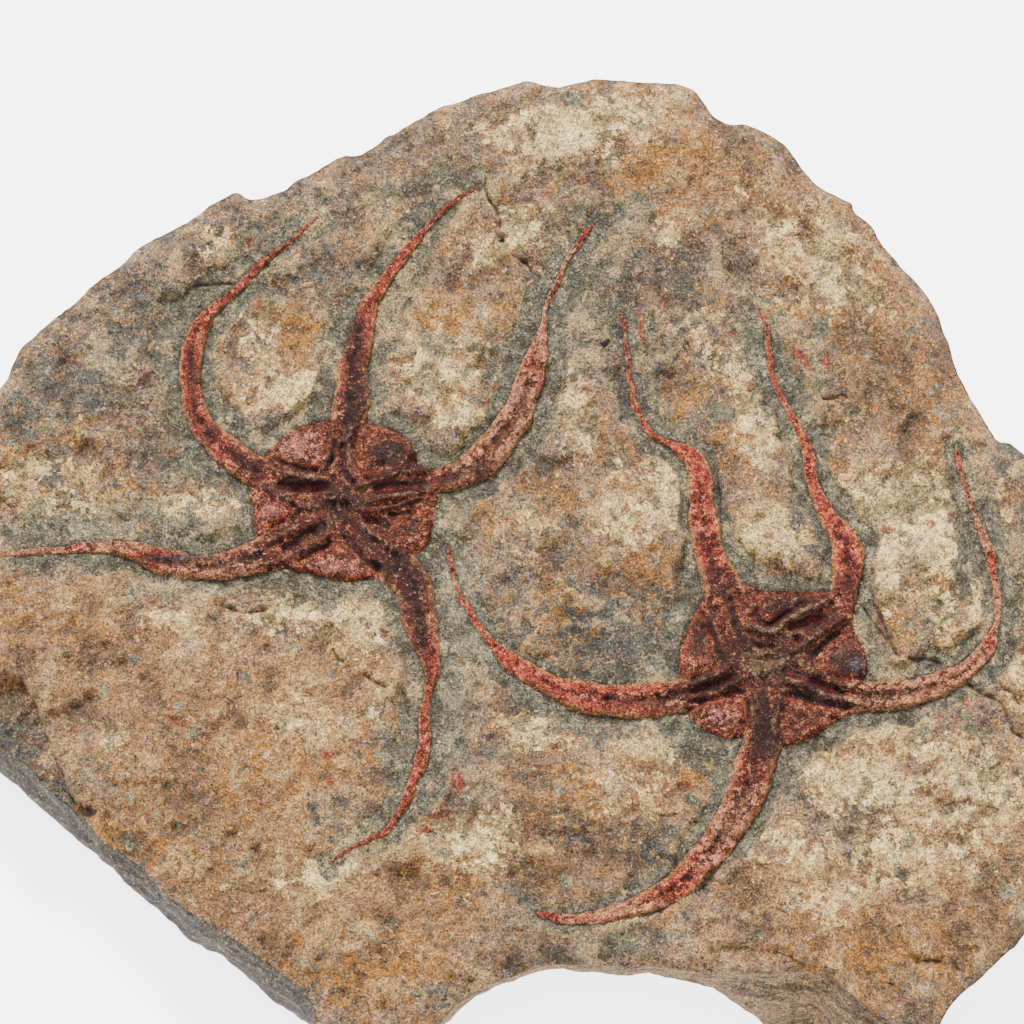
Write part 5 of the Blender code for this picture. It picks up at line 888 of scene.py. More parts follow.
class Face:
    """What the face has at given places: its height and how far each place lies from the stars."""

    def __init__(self, xy, rim):
        self.xy = xy
        self.gap = np.full(len(xy), 99.0)  # distance outside the nearest arm or disc
        self.halo = np.full(len(xy), -99.0)  # how far inside the edge of the stars' channels
        wander = CHANNEL_BENDS[0] * rough(xy, CHANNEL_BENDS[1], 60)
        wander += CHANNEL_TEARS[0] * craggy(xy, CHANNEL_TEARS[1], 61)
        for star in STARS:
            for arm in star["arms"]:
                gap, gone, side, half = along(arm_line(arm, 1.6), xy)
                at, left, right = np.array(arm["halo"], float).T
                reach = np.where(side > 0, np.interp(gone, at, left), np.interp(gone, at, right))
                self.gap = np.minimum(self.gap, gap - half)
                self.halo = np.maximum(self.halo, reach + wander - (gap - half))
            away = edge_distance(disc_ring(star, 1.2), xy)
            self.gap = np.minimum(self.gap, away)
            self.halo = np.maximum(self.halo, DISC_HALO + wander - away)
        self.rim = edge_distance(rim, xy)  # distance outside the slab's rim
        self.crack = np.zeros(len(xy))  # 1 in the middle of a crack
        self.lift = np.zeros(len(xy))  # how far each place stands up from the ground round it, about -1 to 1
        self.broken = np.zeros(len(xy))  # 1 on the broken slope
        self.height = self.shape()

    def shape(self):
        """Height of the face without the stars."""
        xy = self.xy
        channel = soft((self.halo + 0.4) / CHANNEL_WALL)
        outside = 1 - channel
        height = FACE_Z - DOME * ((xy[:, 0] / HALF_LENGTH) ** 2 + (xy[:, 1] / HALF_WIDTH) ** 2)
        height += SWELLS[0] * rough(xy, SWELLS[1], 1)
        relief = HUMPS[0] * rough(xy, HUMPS[1], 2)
        crags = craggy(xy, CRAGS[1], 5)
        creases = np.abs(craggy(xy, CREASES[1], 15))
        relief = relief + CRAGS[0] * crags - CREASES[0] * creases
        for x, y, length, width, turn, rise in SWELLINGS:
            relief += rise * mound(xy, x, y, length, width, turn)
        calm = 1 - 0.85 * channel  # the channels' floors are smoother
        height += relief * calm + self.flakes() * calm - CHANNEL * channel
        grit = craggy(xy, GRIT[1], 25, 3)
        height += GRIT[0] * grit
        # height over the ground round each place: it paints pale worn crests and painted shade in the hollows
        self.lift = grit + 1.2 * crags - 1.2 * creases + 0.5
        height -= self.steps() * outside
        for x, y, radius, rise in KNOBS:
            height += rise * mound(xy, x, y, radius, radius, 0)
        height -= self.pits() * outside
        for width, depth, line in CRACKS:
            gap, gone, _, _ = along(np.array(line, float), xy)
            open_crack = np.exp(-((gap / width) ** 2)) * open_ends(gone, 0.1)
            height -= depth * open_crack
            self.crack = np.maximum(self.crack, open_crack)
        worn = ROUND_EDGE * (1 - 0.75 * lower_left(xy))
        height -= worn * np.clip(1 + self.rim / ROUND_WIDTH, 0, 1) ** 2
        chips = 0.5 + 0.5 * rough(xy, RIM_CHIPS[1], 70)
        height -= RIM_CHIPS[0] * np.clip(1 + self.rim / 2.5, 0, 1) * chips
        return height - self.slope()

    def slope(self):
        """The fall of the broken slope, ribbed by its thin beds."""
        xy = self.xy
        gap = along(np.array(SLOPE_TOP, float), xy)[0]
        fall = np.where(inside(np.array(SLOPE_TOP + SLOPE_OPEN, float), xy), SLOPE * gap, 0)
        self.broken = soft(fall / 1.2)
        beds = np.column_stack([gap / RIB[1] + 0.5 * rough(xy, 14, 71), xy[:, 0] * 0.02])
        return np.minimum(fall, SLOPE_DEPTH) - RIB[0] * rough(beds, 1, 72) * soft(fall / 2)

    def flakes(self):
        """Thin layers of bedding that break off one at a time, with crisp edges."""
        level = 2.6 * craggy(self.xy, 17, 31) + 0.9 * craggy(self.xy, 4, 36, 3)
        step = np.floor(level)
        edge = soft((level - step - (1 - FLAKE_EDGE)) / FLAKE_EDGE)
        return FLAKE * (step + edge) - 0.25 * level

    def steps(self):
        """The drops beside the ledges."""
        drop = np.zeros(len(self.xy))
        shift = self.xy + 0.5 * np.column_stack([rough(self.xy, 2.6, 62), rough(self.xy, 2.6, 63)])
        for depth, fade, line in LEDGES:
            gap, gone, side, _ = along(np.array(line, float), shift)
            drop += np.where(side < 0, depth * np.exp(-((gap / fade) ** 2)), 0) * open_ends(gone, 0.08)
        return drop

    def pits(self):
        """Small pits, in patches."""
        rng = np.random.default_rng(SEED)
        hollow = np.zeros(len(self.xy))
        for x, y, length, width, turn, count, depth in PITTED:
            angle = math.radians(turn)
            for _ in range(count):
                u, v = rng.normal(0, 0.6, 2) * (length, width)
                size = rng.uniform(0.45, 1.0)
                cx = x + u * math.cos(angle) - v * math.sin(angle)
                cy = y + u * math.sin(angle) + v * math.cos(angle)
                near = np.abs(self.xy - (cx, cy)).max(1) < 3 * size
                if near.any():
                    oval = size * rng.uniform(0.6, 1), rng.uniform(0, 180)
                    hollow[near] = np.maximum(hollow[near], depth * mound(self.xy[near], cx, cy, size, *oval))
        return hollow


# ---- meshes

def closed_piece(name, verts, faces, masks, material, slot):
    """A closed mesh given in millimetres, with a number at each point for every mask, ready to ride."""
    mesh = bpy.data.meshes.new(name)
    mesh.from_pydata((np.asarray(verts, float) * MM).tolist(), [], faces)
    mesh.polygons.foreach_set("use_smooth", [True] * len(mesh.polygons))
    for key, values in masks.items():
        layer = mesh.attributes.new(key, "FLOAT", "POINT")
        layer.data.foreach_set("value", np.asarray(values, np.float32))
    mesh.materials.append(material)
    piece = bpy.data.objects.new(name, mesh)
    bpy.context.scene.collection.objects.link(piece)
    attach(piece, "root")
    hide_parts(slot)


def triangulate(ring, points):
    """Triangles over a closed outline and the points inside it; the outline's points come first."""
    every = [tuple(map(float, p)) for p in np.vstack([ring, points])]
    result = delaunay_2d_cdt(every, [], [list(range(len(ring)))], 1, 1e-6)
    return np.array([tuple(v) for v in result[0]]), [tuple(f) for f in result[2]]


def loose_grid(ring, spacing, stray, seed):
    """Points on a loose triangular grid inside an outline, half the spacing or more from it."""
    rng = np.random.default_rng(SEED + seed)
    low, high = ring.min(0), ring.max(0)
    rows = []
    for j, y in enumerate(np.arange(low[1], high[1], spacing * ROW)):
        xs = np.arange(low[0] + (j % 2) * spacing / 2, high[0], spacing)
        rows.append(np.column_stack([xs, np.full(len(xs), y)]))
    points = np.vstack(rows)
    points += rng.uniform(-stray, stray, points.shape) * spacing
    points = points[inside(ring, points)]
    edge = np.vstack([ring, ring[:1]])
    square = np.floor(points / PATCH).astype(int)
    keep = np.ones(len(points), bool)
    for cell in np.unique(square, axis=0):
        here = (square == cell).all(1)
        near = np.hypot(*(edge - (cell + 0.5) * PATCH).T) < PATCH + 2
        if near.any():
            away = np.hypot(*np.moveaxis(points[here][:, None] - edge[near][None], 2, 0)).min(1)
            keep[np.flatnonzero(here)[away < 0.5 * spacing]] = False
    return points[keep]


def lay_lines(points, clear):
    """Adds rows of points along the cracks, and takes away grid points that crowd them."""
    rows = []
    for width, _, line in CRACKS:
        path = smooth_path(line, 0.5)
        side = normals_of(path) * width * 0.8
        rows += [path, path + side, path - side]
    rows = np.vstack(rows)
    keep = np.ones(len(points), bool)
    for p in rows:
        near = np.abs(points[:, 0] - p[0]) < clear
        keep[near] &= np.hypot(*(points[near] - p).T) > clear
    return np.vstack([points[keep], rows])


def strip(first, second, faces):
    """Triangles between two closed rings of point numbers of equal length."""
    count = len(first)
    for i in range(count):
        j = (i + 1) % count
        faces.append((first[i], first[j], second[j]))
        faces.append((first[i], second[j], second[i]))


def stain_masks(xy, stains, tears):
    """How strong each kind of stain is at each place, with torn edges."""
    shift = np.column_stack([craggy(xy, tears[1], seed, 3) for seed in (80, 90)]) * tears[0]
    masks = {}
    for kind, spots in stains.items():
        mask = np.zeros(len(xy))
        for x, y, length, width, turn, strength in spots:
            loose = xy + shift * min(1.0, width / 3)
            mask = np.maximum(mask, strength * mound(loose, x, y, length, width, turn))
        masks[kind] = mask
    return masks


def lower_left(xy):
    """1 on the grey side at the lower left, 0 elsewhere."""
    return soft((7 - along(np.array(GREY_SIDE, float), xy)[0]) / 4)


def notch(xy):
    """1 on the paler, freshly broken side of the notch, 0 elsewhere."""
    return soft((15 - along(np.array(NOTCH_SIDE, float), xy)[0]) / 6)


def slab_outlines():
    """The slab's outline at its widest, the face's rim inside it, and how far the underside lies in."""
    around = smooth_path(OUTLINE, RIM_STEP, closed=True)[::-1]
    wide, inset = around[:, :2], around[:, 2]
    out = -ring_normals(wide)
    torn = 0.35 + OUTLINE_TEARS[0] * craggy(wide, OUTLINE_TEARS[1], 45, 3)
    wide = wide - out * torn[:, None].clip(0.12)
    lean = LEAN * lower_left(wide) * (1 + 0.3 * craggy(wide, 9, 46, 3))
    return wide, wide - out * lean[:, None], inset


def slab_sides(wide, rim, inset, height, total, faces):
    """The broken sides, ring by ring, pulled in by beds, flaking and the undercut.

    Gives the rings from the top down, the lowest one's point numbers, and the number of points by then.
    """
    out = -ring_normals(rim)
    upper = list(range(len(rim)))
    rings = []
    for k in range(1, SIDE_LEVELS + 1):
        t = k / SIDE_LEVELS
        z = height * (1 - t)
        skew = rim + np.column_stack([1.3 * z, -0.9 * z])
        layers = np.column_stack([z / BED[1] + 0.7 * rough(rim, 18, 41), rim[:, 0] * 0.015])
        pull = 0.25 * soft((t - 0.35) / 0.35) + 0.75 * soft((t - 0.6) / 0.4)
        flaked = SIDE_FLAKES[0] * craggy(skew, SIDE_FLAKES[1], 43) * soft(t / 0.15)
        inward = inset * pull + 0.5 + BED[0] * rough(layers, 1, 42) + flaked
        edge = rim + (wide - rim) * soft(t / 0.45)
        ring = edge - out * np.maximum(inward * soft(t / 0.08 + 0.2), 0.02)[:, None]
        lower = list(range(total, total + len(ring)))
        strip(lower, upper, faces)
        rings.append(np.column_stack([ring, z]))
        total += len(ring)
        upper = lower
    return rings, upper, total


def make_slab(material):
    """The slab: the face, broken sides in thin beds, and the back."""
    wide, rim, inset = slab_outlines()
    grid = loose_grid(rim, FACE_GRID, stray=0.16, seed=1)
    plan, faces = triangulate(rim, lay_lines(grid, clear=0.36))
    face = Face(plan, rim)
    height = face.height - UNDER_STAR * soft((-face.gap - 0.3) / 0.8)  # the stone lies lower under the stars
    height = np.minimum(height, TOP - 0.1)
    masks = {
        "halo": face.halo, "gap": face.gap, "crack": face.crack,
        "side": np.maximum(soft(1 + face.rim / 0.7), face.broken), "lift": face.lift * (1 - face.broken),
    }
    masks.update(stain_masks(plan, STAINS, STAIN_TEARS))
    masks["lift"] *= 1 - 0.9 * masks["raw"]  # the freshly broken layer has no pale crests

    sides, upper, total = slab_sides(wide, rim, inset, face.height[:len(rim)], len(plan), faces)
    base = sides[-1][:, :2]
    back, back_faces = triangulate(base, loose_grid(base, BACK_GRID, stray=0.2, seed=3))
    spare = back[len(base):]
    number = upper + list(range(total, total + len(spare)))
    faces += [(number[a], number[c], number[b]) for a, b, c in back_faces]
    hollow = BACK_HOLLOWS[0] * np.clip(craggy(spare, BACK_HOLLOWS[1], 50, 3), 0, 1)
    below = np.vstack([*sides, np.column_stack([spare, hollow])])

    # masks of the sides and back: far from the stars, with the rim's stains running on into them
    rest = len(below)
    more = {
        "halo": np.full(rest, -9.0), "gap": np.full(rest, 9.0), "crack": np.zeros(rest),
        "side": np.ones(rest), "lift": np.zeros(rest),
    }
    stains = stain_masks(below[:, :2], STAINS, STAIN_TEARS)
    more.update({kind: 0.6 * value for kind, value in stains.items()})
    verts = np.vstack([np.column_stack([plan, height]), below])
    masks = {key: np.concatenate([values, more[key]]) for key, values in masks.items()}
    masks["grey_side"] = lower_left(verts[:, :2]) * masks["side"]
    masks["fresh_side"] = notch(verts[:, :2]) * masks["side"]
    closed_piece("siltstone_slab", verts, faces, masks, material, "stone_slab")
    return rim


def star_grain(xy):
    """The pitted, knobbly surface of the fossil."""
    return STAR_PITS[0] * craggy(xy, STAR_PITS[1], 190, 3) + STAR_KNOBS[0] * rough(xy, STAR_KNOBS[1], 200)


def arm_relief(v, half, run):
    """Height of an arm's top over its channel: twin ridges, a groove between them, and its joints."""
    v = np.clip(np.abs(v), 0, 1.3)
    crown = 0.3 + 0.42 * np.minimum(half, 2.8)
    body = np.where(v < 1, np.sqrt(np.clip(1 - v**3, 0, 1)), 0)
    groove = 0.5 * soft(half / 2.2) * np.exp(-((v / 0.26) ** 2))
    joint = np.abs(np.sin(np.pi * run / JOINT)) ** 0.5
    joints = 1 - 0.1 * (1 - joint) * soft((half - 0.4) / 0.8) * soft((v - 0.1) / 0.2)
    return crown * body * (1 - groove) * joints - 0.2 - 0.6 * np.clip(v - 1, 0, 1) / 0.1


def make_arm(star, index, rim, material):
    """One arm, from just under the disc to its tip, with its underside sunk in the stone."""
    path = arm_line(star["arms"][index], ARM_STEP)
    tip = np.minimum(1, 0.35 + np.arange(len(path)) * ARM_STEP / 2.0)
    inner = path[-1] + (path[-1] - path[-2]) * np.arange(1, 3)[:, None]
    path = np.vstack([path, inner])
    tip = np.append(tip, [1, 1])
    out = normals_of(path)
    run = np.arange(len(path)) * ARM_STEP
    lane = np.column_stack([run, np.zeros(len(path))])
    across = np.linspace(-1.1, 1.1, ARM_COLUMNS)
    width = path[:, 2] * tip
    edges = []
    for seed in (100 + index, 140 + index):
        bends = 1 + ARM_BENDS[0] * rough(lane, ARM_BENDS[1], seed)
        edges.append(width * bends + ARM_TEARS[0] * rough(lane, ARM_TEARS[1], seed + 20))
    left, right = edges
    side = np.where(across[None, :] > 0, left[:, None], right[:, None]) * across[None, :]
    xy = (path[:, None, :2] + out[:, None, :] * side[..., None]).reshape(-1, 2)
    v = np.tile(across, len(path))
    half = np.repeat(width, ARM_COLUMNS)
    warped = np.repeat(run, ARM_COLUMNS) + JOINT_BENDS[0] * rough(xy, JOINT_BENDS[1], 180)
    ground = Face(xy, rim).height
    sink = np.zeros(len(path))
    sink[-2:] = 0.15, 0.5
    z = ground + arm_relief(v, half, warped) + star_grain(xy) * soft(half / 1.2 + 0.3) * (np.abs(v) < 1)
    z -= np.repeat(sink, ARM_COLUMNS)
    floor = np.column_stack([xy, ground - UNDER_STAR]).reshape(len(path), ARM_COLUMNS, 3)
    verts = np.vstack([np.column_stack([xy, z]), floor[:, [ARM_COLUMNS - 1, 0]].reshape(-1, 3)])

    # each station is a ring: the points across the top, then the two of the underside
    total = len(path) * ARM_COLUMNS
    rings = []
    for i in range(len(path)):
        top = range(i * ARM_COLUMNS, (i + 1) * ARM_COLUMNS)
        rings.append([*top, total + 2 * i, total + 2 * i + 1])
    faces = []
    for near, far in zip(rings, rings[1:]):
        strip(far, near, faces)
    for k in range(1, ARM_COLUMNS + 1):
        faces.append((rings[0][-1], rings[0][k - 1], rings[0][k]))
        faces.append((rings[-1][-1], rings[-1][k], rings[-1][k - 1]))
    deep = star["deep"] + (1 - star["deep"]) * soft(1 - (run[-3] - run) / DARK_ROOT)
    masks = {
        "across": np.append(v, np.tile([1.2, -1.2], len(path))),
        "run": np.append(warped, np.repeat(run, 2)),
        "half": np.append(half, np.repeat(width, 2)),
        "deep": np.append(np.repeat(deep, ARM_COLUMNS), np.repeat(deep, 2)),
    }
    for key in ("ridge", "slit", "border"):
        masks[key] = np.zeros(len(verts))
    masks.update(stain_masks(verts[:, :2], FOSSIL_TONES, TONE_TEARS))
    name, number = star["name"], index + 1
    closed_piece(f"{name}_fossil_arm_{number}", verts, faces, masks, material, f"{name}_arm_{number}")


def disc_relief(star, xy):
    """Height over the channel, and the masks that say what each place is."""
    shapes = DISC_RELIEF[star["name"]]
    shift = xy + DISC_BENDS[0] * np.column_stack([rough(xy, DISC_BENDS[1], seed) for seed in (220, 221)])
    dome, border, ridge, slit = np.zeros((4, len(xy)))
    for outline in shapes["fields"]:
        deep = -edge_distance(smooth_path(outline, 0.7, closed=True), shift)
        dome = np.maximum(dome, np.where(deep > 0, 1 - np.exp(-deep / 0.9), 0))
        border = np.maximum(border, np.exp(-(((deep - 0.35) / 0.45) ** 2)))
    for half, rise, line in shapes["ridges"]:
        gap, gone, _, _ = along(smooth_path(line, 0.7), shift)
        ends = 0.55 + 0.45 * open_ends(gone, 0.12)
        ridge = np.maximum(ridge, rise * ends * np.exp(-((gap / half) ** 2)))
    for half, depth, line in shapes["slits"]:
        gap = along(smooth_path(line, 0.7), shift)[0]
        slit = np.maximum(slit, depth * np.exp(-((gap / half) ** 2)))
    relief = 0.3 + np.maximum(FIELD_RISE * dome, ridge) - 0.5 * slit * (1 - 0.4 * ridge)
    masks = {
        "ridge": ridge, "slit": slit, "border": border, "across": np.full(len(xy), 0.62),
        "half": np.ones(len(xy)), "run": np.full(len(xy), JOINT / 2), "deep": np.ones(len(xy)),
    }
    for arm in star["arms"]:  # near its root an arm's own relief runs on into the disc
        path = arm_line(arm, 0.8)
        left, right = arm_sides(path)
        from_cut = along(np.array([left[-1], right[-1]]), xy)[0]
        gap, _, side, half = along(np.vstack([path[-5:-1], smooth_path(arm["rib"], 0.8)]), xy)
        v = gap / half
        near = soft(1 - from_cut / SEAM) * soft((1.15 - v) / 0.15)
        relief += (arm_relief(v, half, JOINT / 2) - relief) * near
        masks["across"] += (side * v - masks["across"]) * near
        masks["half"] += (half - masks["half"]) * near
        for key in ("ridge", "slit", "border"):
            masks[key] = masks[key] * (1 - near)
    return relief + star_grain(xy), masks


def make_disc(star, rim, material):
    """One disc: five domed fields between ridges that run in from the arms to the mouth, with deep slits."""
    ring = disc_ring(star)
    plan, faces = triangulate(ring, loose_grid(ring, DISC_GRID, stray=0.12, seed=5))
    ground = Face(plan, rim).height
    free = np.full(len(plan), 99.0)  # distance from the disc's free edges
    for index in range(len(star["arms"])):
        free = np.minimum(free, along(web_line(star, index, 0.8), plan)[0])
    relief, masks = disc_relief(star, plan)
    edge = soft(free / 0.9 + 0.1)
    z = ground + relief * edge - 0.4 * (1 - edge)
    count = len(ring)
    verts = np.vstack([np.column_stack([plan, z]), np.column_stack([ring, ground[:count] - UNDER_STAR])])
    lower = list(range(len(plan), len(plan) + count))
    strip(lower, list(range(count)), faces)
    _, base = triangulate(ring, ring[:0])
    faces += [(lower[a], lower[c], lower[b]) for a, b, c in base]
    masks = {key: np.append(values, values[:count]) for key, values in masks.items()}
    masks.update(stain_masks(verts[:, :2], FOSSIL_TONES, TONE_TEARS))
    name = star["name"]
    closed_piece(f"{name}_fossil_disc", verts, faces, masks, material, f"{name}_disc")


# ---- materials

def tone(code):
    """The linear colour of an sRGB hex code."""
    parts = [int(code[k:k + 2], 16) / 255 for k in (1, 3, 5)]
    return (*[c / 12.92 if c <= 0.04045 else ((c + 0.055) / 1.055) ** 2.4 for c in parts], 1.0)


def per_mm(size):
    """The texture scale whose bumps are a given number of millimetres across, in Object coordinates."""
    return 1 / (size * MM)


def add(tree, kind, inputs=None, out=0, **settings):
    """Adds a node with its settings, sets each input to a value or links it, and gives its output."""
    node = tree.nodes.new(kind)
    for key, value in settings.items():
        setattr(node, key, value)
    for key, value in (inputs or {}).items():
        if isinstance(value, bpy.types.NodeSocket):
            tree.links.new(value, node.inputs[key])
        else:
            node.inputs[key].default_value = value
    return node.outputs[out] if node.outputs else node


def new_material(name):
    """An empty node material, with its tree and its Object coordinates."""
    material = bpy.data.materials.new(name)
    material.use_nodes = True
    tree = material.node_tree
    tree.nodes.clear()
    return material, tree, add(tree, "ShaderNodeTexCoord", out="Object")


def torn_cells(tree, place, bump, detail, stray, sizes):
    """Patches with crisp torn edges: torn coordinates and, by size, each patch's own shade from 0 to 1."""
    drift = add(tree, "ShaderNodeTexNoise", {
        "Vector": place, "Scale": per_mm(bump), "Detail": detail, "Roughness": 0.75,
    }, out="Color")
    torn = add(tree, "ShaderNodeVectorMath", {0: drift, 1: (stray * MM,) * 3, 2: place},
               operation="MULTIPLY_ADD")
    shade = {}
    for name, size in sizes.items():
        cell = add(tree, "ShaderNodeTexVoronoi", {"Vector": torn, "Scale": per_mm(size)}, out="Color")
        shade[name] = add(tree, "ShaderNodeSeparateColor", {0: cell})
    return torn, shade


def paint(tree, colour, layers):
    """Lays colours over one another, each by a mask made ragged by a noise.

    A layer is the mask, the noise and how much of it is added, the value at which the colour starts to
    show and the one at which it shows in full, its strength there, and the colour.
    """
    for mask, noise, amount, start, full, strength, code in layers:
        ragged = add(tree, "ShaderNodeMath", {0: noise, 1: amount, 2: mask}, operation="MULTIPLY_ADD")
        shown = add(tree, "ShaderNodeMapRange", {0: ragged, 1: start, 2: full, 4: strength},
                    interpolation_type="SMOOTHSTEP")
        colour = add(tree, "ShaderNodeMix", {0: shown, 6: colour, 7: tone(code)}, out=2, data_type="RGBA")
    return colour


def shaded(tree, colour, patterns):
    """Darkens and lightens a colour by patterns, given with their low and high and the shades at these."""
    shade = 1.0
    for pattern, low, high, dark, pale in patterns:
        one = add(tree, "ShaderNodeMapRange", {0: pattern, 1: low, 2: high, 3: dark, 4: pale})
        shade = add(tree, "ShaderNodeMath", {0: shade, 1: one}, operation="MULTIPLY")
    return add(tree, "ShaderNodeVectorMath", {0: colour, "Scale": shade}, operation="SCALE")


def rough_finish(tree, colour, relief, depth, roughness, specular):
    """Ends a material with its colour, a fine relief of patterns at their heights, and its sheen."""
    rise = 0.0
    for pattern, height in relief:
        rise = add(tree, "ShaderNodeMath", {0: pattern, 1: height, 2: rise}, operation="MULTIPLY_ADD")
    normal = add(tree, "ShaderNodeBump", {"Strength": 1.0, "Distance": depth * MM, "Height": rise})
    shader = add(tree, "ShaderNodeBsdfPrincipled", {
        "Base Color": colour, "Roughness": roughness, "Specular IOR Level": specular, "Normal": normal,
    })
    add(tree, "ShaderNodeOutputMaterial", {"Surface": shader})


def stone_material():
    """Siltstone, split along its beds and left rough.

    It gives the eye a dull, dry surface: a broken mosaic of tan, ochre, cream and slate chips, pale on its
    worn crests, darkened in its hollows by painted shade, and gritty all over. The grit of real silt is too
    fine to show, so it is drawn a third of a millimetre across.
    """
    material, tree, place = new_material("buff siltstone")
    turned = add(tree, "ShaderNodeMapping", {"Vector": place, "Rotation": (0.4, 0.7, 1.1)})
    other = add(tree, "ShaderNodeMapping", {"Vector": place, "Rotation": (1.9, 0.3, 2.3)})
    beds = add(tree, "ShaderNodeMapping", {"Vector": place, "Scale": (0.12, 0.12, 1.0)})
    at = {}
    for kind in [*STAINS, "halo", "gap", "crack", "side", "grey_side", "fresh_side", "lift"]:
        at[kind] = add(tree, "ShaderNodeAttribute", attribute_name=kind, out="Fac")
    noise = {}
    for name, bump, detail, roughness, where in [
        ("broad", 15, 5, 0.7, place), ("patch", 4.2, 6, 0.68, place), ("scab", 3.4, 5, 0.64, turned),
        ("crust", 2.2, 6, 0.70, other), ("fleck", 1.1, 5, 0.8, turned), ("dot", 0.9, 3, 0.7, other),
        ("grit", 0.34, 2, 0.6, place), ("lines", 1.1, 4, 0.6, beds),
    ]:
        noise[name] = add(tree, "ShaderNodeTexNoise", {
            "Vector": where, "Scale": per_mm(bump), "Detail": detail, "Roughness": roughness,
        }, out="Fac")
    sizes = {"large": 3.2, "small": 1.25, "grain": 0.55}
    torn, chip = torn_cells(tree, place, 2.0, 5.0, 6, sizes)
    border = add(tree, "ShaderNodeTexVoronoi", {"Vector": torn, "Scale": per_mm(sizes["large"])},
                 feature="DISTANCE_TO_EDGE")
    hairline = add(tree, "ShaderNodeMath", {0: border, 1: -18.0, 2: 1.0}, operation="MULTIPLY_ADD")
    blotch, speckle = [
        add(tree, "ShaderNodeMath", {0: chip[size], 1: 0.3, 2: noise[name]}, operation="MULTIPLY_ADD")
        for size, name in (("large", "scab"), ("small", "crust"))
    ]
    clean = add(tree, "ShaderNodeMath", {0: at["warm"], 1: -0.4}, operation="MULTIPLY")
    channel = add(tree, "ShaderNodeMapRange", {0: at["halo"], 1: -0.4, 2: 0.6})
    colour = paint(tree, tone("#92755a"), [
        # the ground
        (clean, noise["broad"], 1.0, 0.46, 0.60, 0.5, "#735c47"),
        (0.0, blotch, 1.0, 0.72, 0.75, 0.75, "#bb8450"),
        (clean, noise["patch"], 1.0, 0.56, 0.60, 0.5, "#a87235"),
        (at["warm"], blotch, 1.6, 1.15, 1.35, 0.7, "#ad7a4a"),
        (clean, blotch, -1.0, -0.52, -0.49, 0.8, "#5b5b54"),
        (0.0, speckle, 1.0, 0.75, 0.78, 0.85, "#dcb478"),
        (clean, speckle, -1.0, -0.51, -0.48, 0.8, "#4b3e36"),
        # the stains
        (at["raw"], speckle, 1.6, 1.05, 1.30, 0.85, "#5c4735"),
        (at["raw"], blotch, 1.6, 1.62, 1.85, 0.7, "#352a22"),
        (at["umber"], blotch, 2.0, 1.60, 1.72, 0.7, "#87623f"),
        (at["plum"], speckle, 2.0, 1.70, 1.82, 0.7, "#54433a"),
        (at["slate"], blotch, 2.0, 1.65, 1.72, 0.85, "#53544c"),
        (at["ochre"], speckle, 2.0, 1.70, 1.78, 0.8, "#a46c25"),
        (at["cream"], blotch, 2.0, 1.52, 1.57, 0.65, "#a8692a"),
        (at["cream"], blotch, 2.0, 1.65, 1.69, 0.92, "#cfab6e"),
        (at["cream"], speckle, 2.0, 1.84, 1.92, 0.85, "#f6d490"),
        (at["grey"], blotch, 2.0, 1.55, 1.60, 0.45, "#a97a40"),
        (at["grey"], blotch, 2.0, 1.64, 1.69, 0.9, "#64624e"),
        # the channels: grey green, mottled
        (at["halo"], noise["patch"], 2.4, 1.09, 1.19, 0.92, "#6c6550"),
        (channel, blotch, 1.0, 1.76, 1.82, 0.6, "#8f8466"),
        (channel, speckle, -1.0, 0.37, 0.42, 0.7, "#4a483b"),
        (at["faded"], blotch, 2.0, 1.66, 1.78, 0.75, "#93866a"),
        (at["rust"], noise["fleck"], 1.8, 1.30, 1.50, 0.85, "#8a4524"),
        (at["red"], noise["fleck"], 1.8, 1.30, 1.50, 0.9, "#953a26"),
    ])
    away = add(tree, "ShaderNodeMath", {0: at["halo"]}, operation="ABSOLUTE")
    close = add(tree, "ShaderNodeMath", {0: at["gap"]}, operation="ABSOLUTE")
    colour = paint(tree, colour, [
        (away, noise["crust"], 3.0, 1.60, 1.42, 0.75, "#c99f58"),
        # painted shade where the stone meets the arms and discs
        (close, noise["patch"], 1.6, 1.40, 0.75, 0.65, "#352e2a"),
        (at["side"], noise["broad"], 0.4, 0.5, 1.0, 0.92, "#6a5039"),
        (at["side"], blotch, 1.0, 1.70, 1.78, 0.5, "#80623f"),
        (at["fresh_side"], noise["broad"], 0.4, 0.5, 0.9, 0.92, "#a5835d"),
        (at["side"], noise["lines"], 1.2, 1.62, 1.70, 0.65, "#473a2f"),
        (at["side"], noise["lines"], -1.2, 0.44, 0.52, 0.45, "#8c6f4c"),
        (at["grey_side"], noise["broad"], 0.4, 0.5, 1.0, 0.75, "#5b5751"),
        (at["grey_side"], noise["lines"], 1.2, 1.58, 1.68, 0.65, "#3c3833"),
        (at["grey_side"], noise["lines"], -1.2, 0.44, 0.52, 0.4, "#7d7a70"),
        # pale worn crests, and painted shade in the hollows
        (at["lift"], speckle, 2.0, 2.05, 2.50, 0.4, "#d6ae74"),
        (at["lift"], speckle, 2.0, 0.90, 0.35, 0.55, "#3d3129"),
        # pale grains, with a painted glint
        (0.0, noise["fleck"], 1.0, 0.57, 0.63, 0.5, "#e8c582"),
        (at["warm"], noise["dot"], 3.0, 2.66, 2.84, 0.6, "#b86f28"),
        (0.0, noise["dot"], -1.0, -0.42, -0.38, 0.7, "#3c4042"),
        (0.0, noise["fleck"], -1.0, -0.41, -0.34, 0.6, "#352a22"),
        (hairline, noise["scab"], 1.0, 1.25, 1.45, 0.55, "#3a2c22"),
        # painted shade in the cracks
        (at["crack"], noise["grit"], 1.0, 0.9, 1.4, 0.75, "#2a201a"),
        (0.0, noise["grit"], 1.0, 0.68, 0.78, 0.5, "#f0e6d0"),
    ])
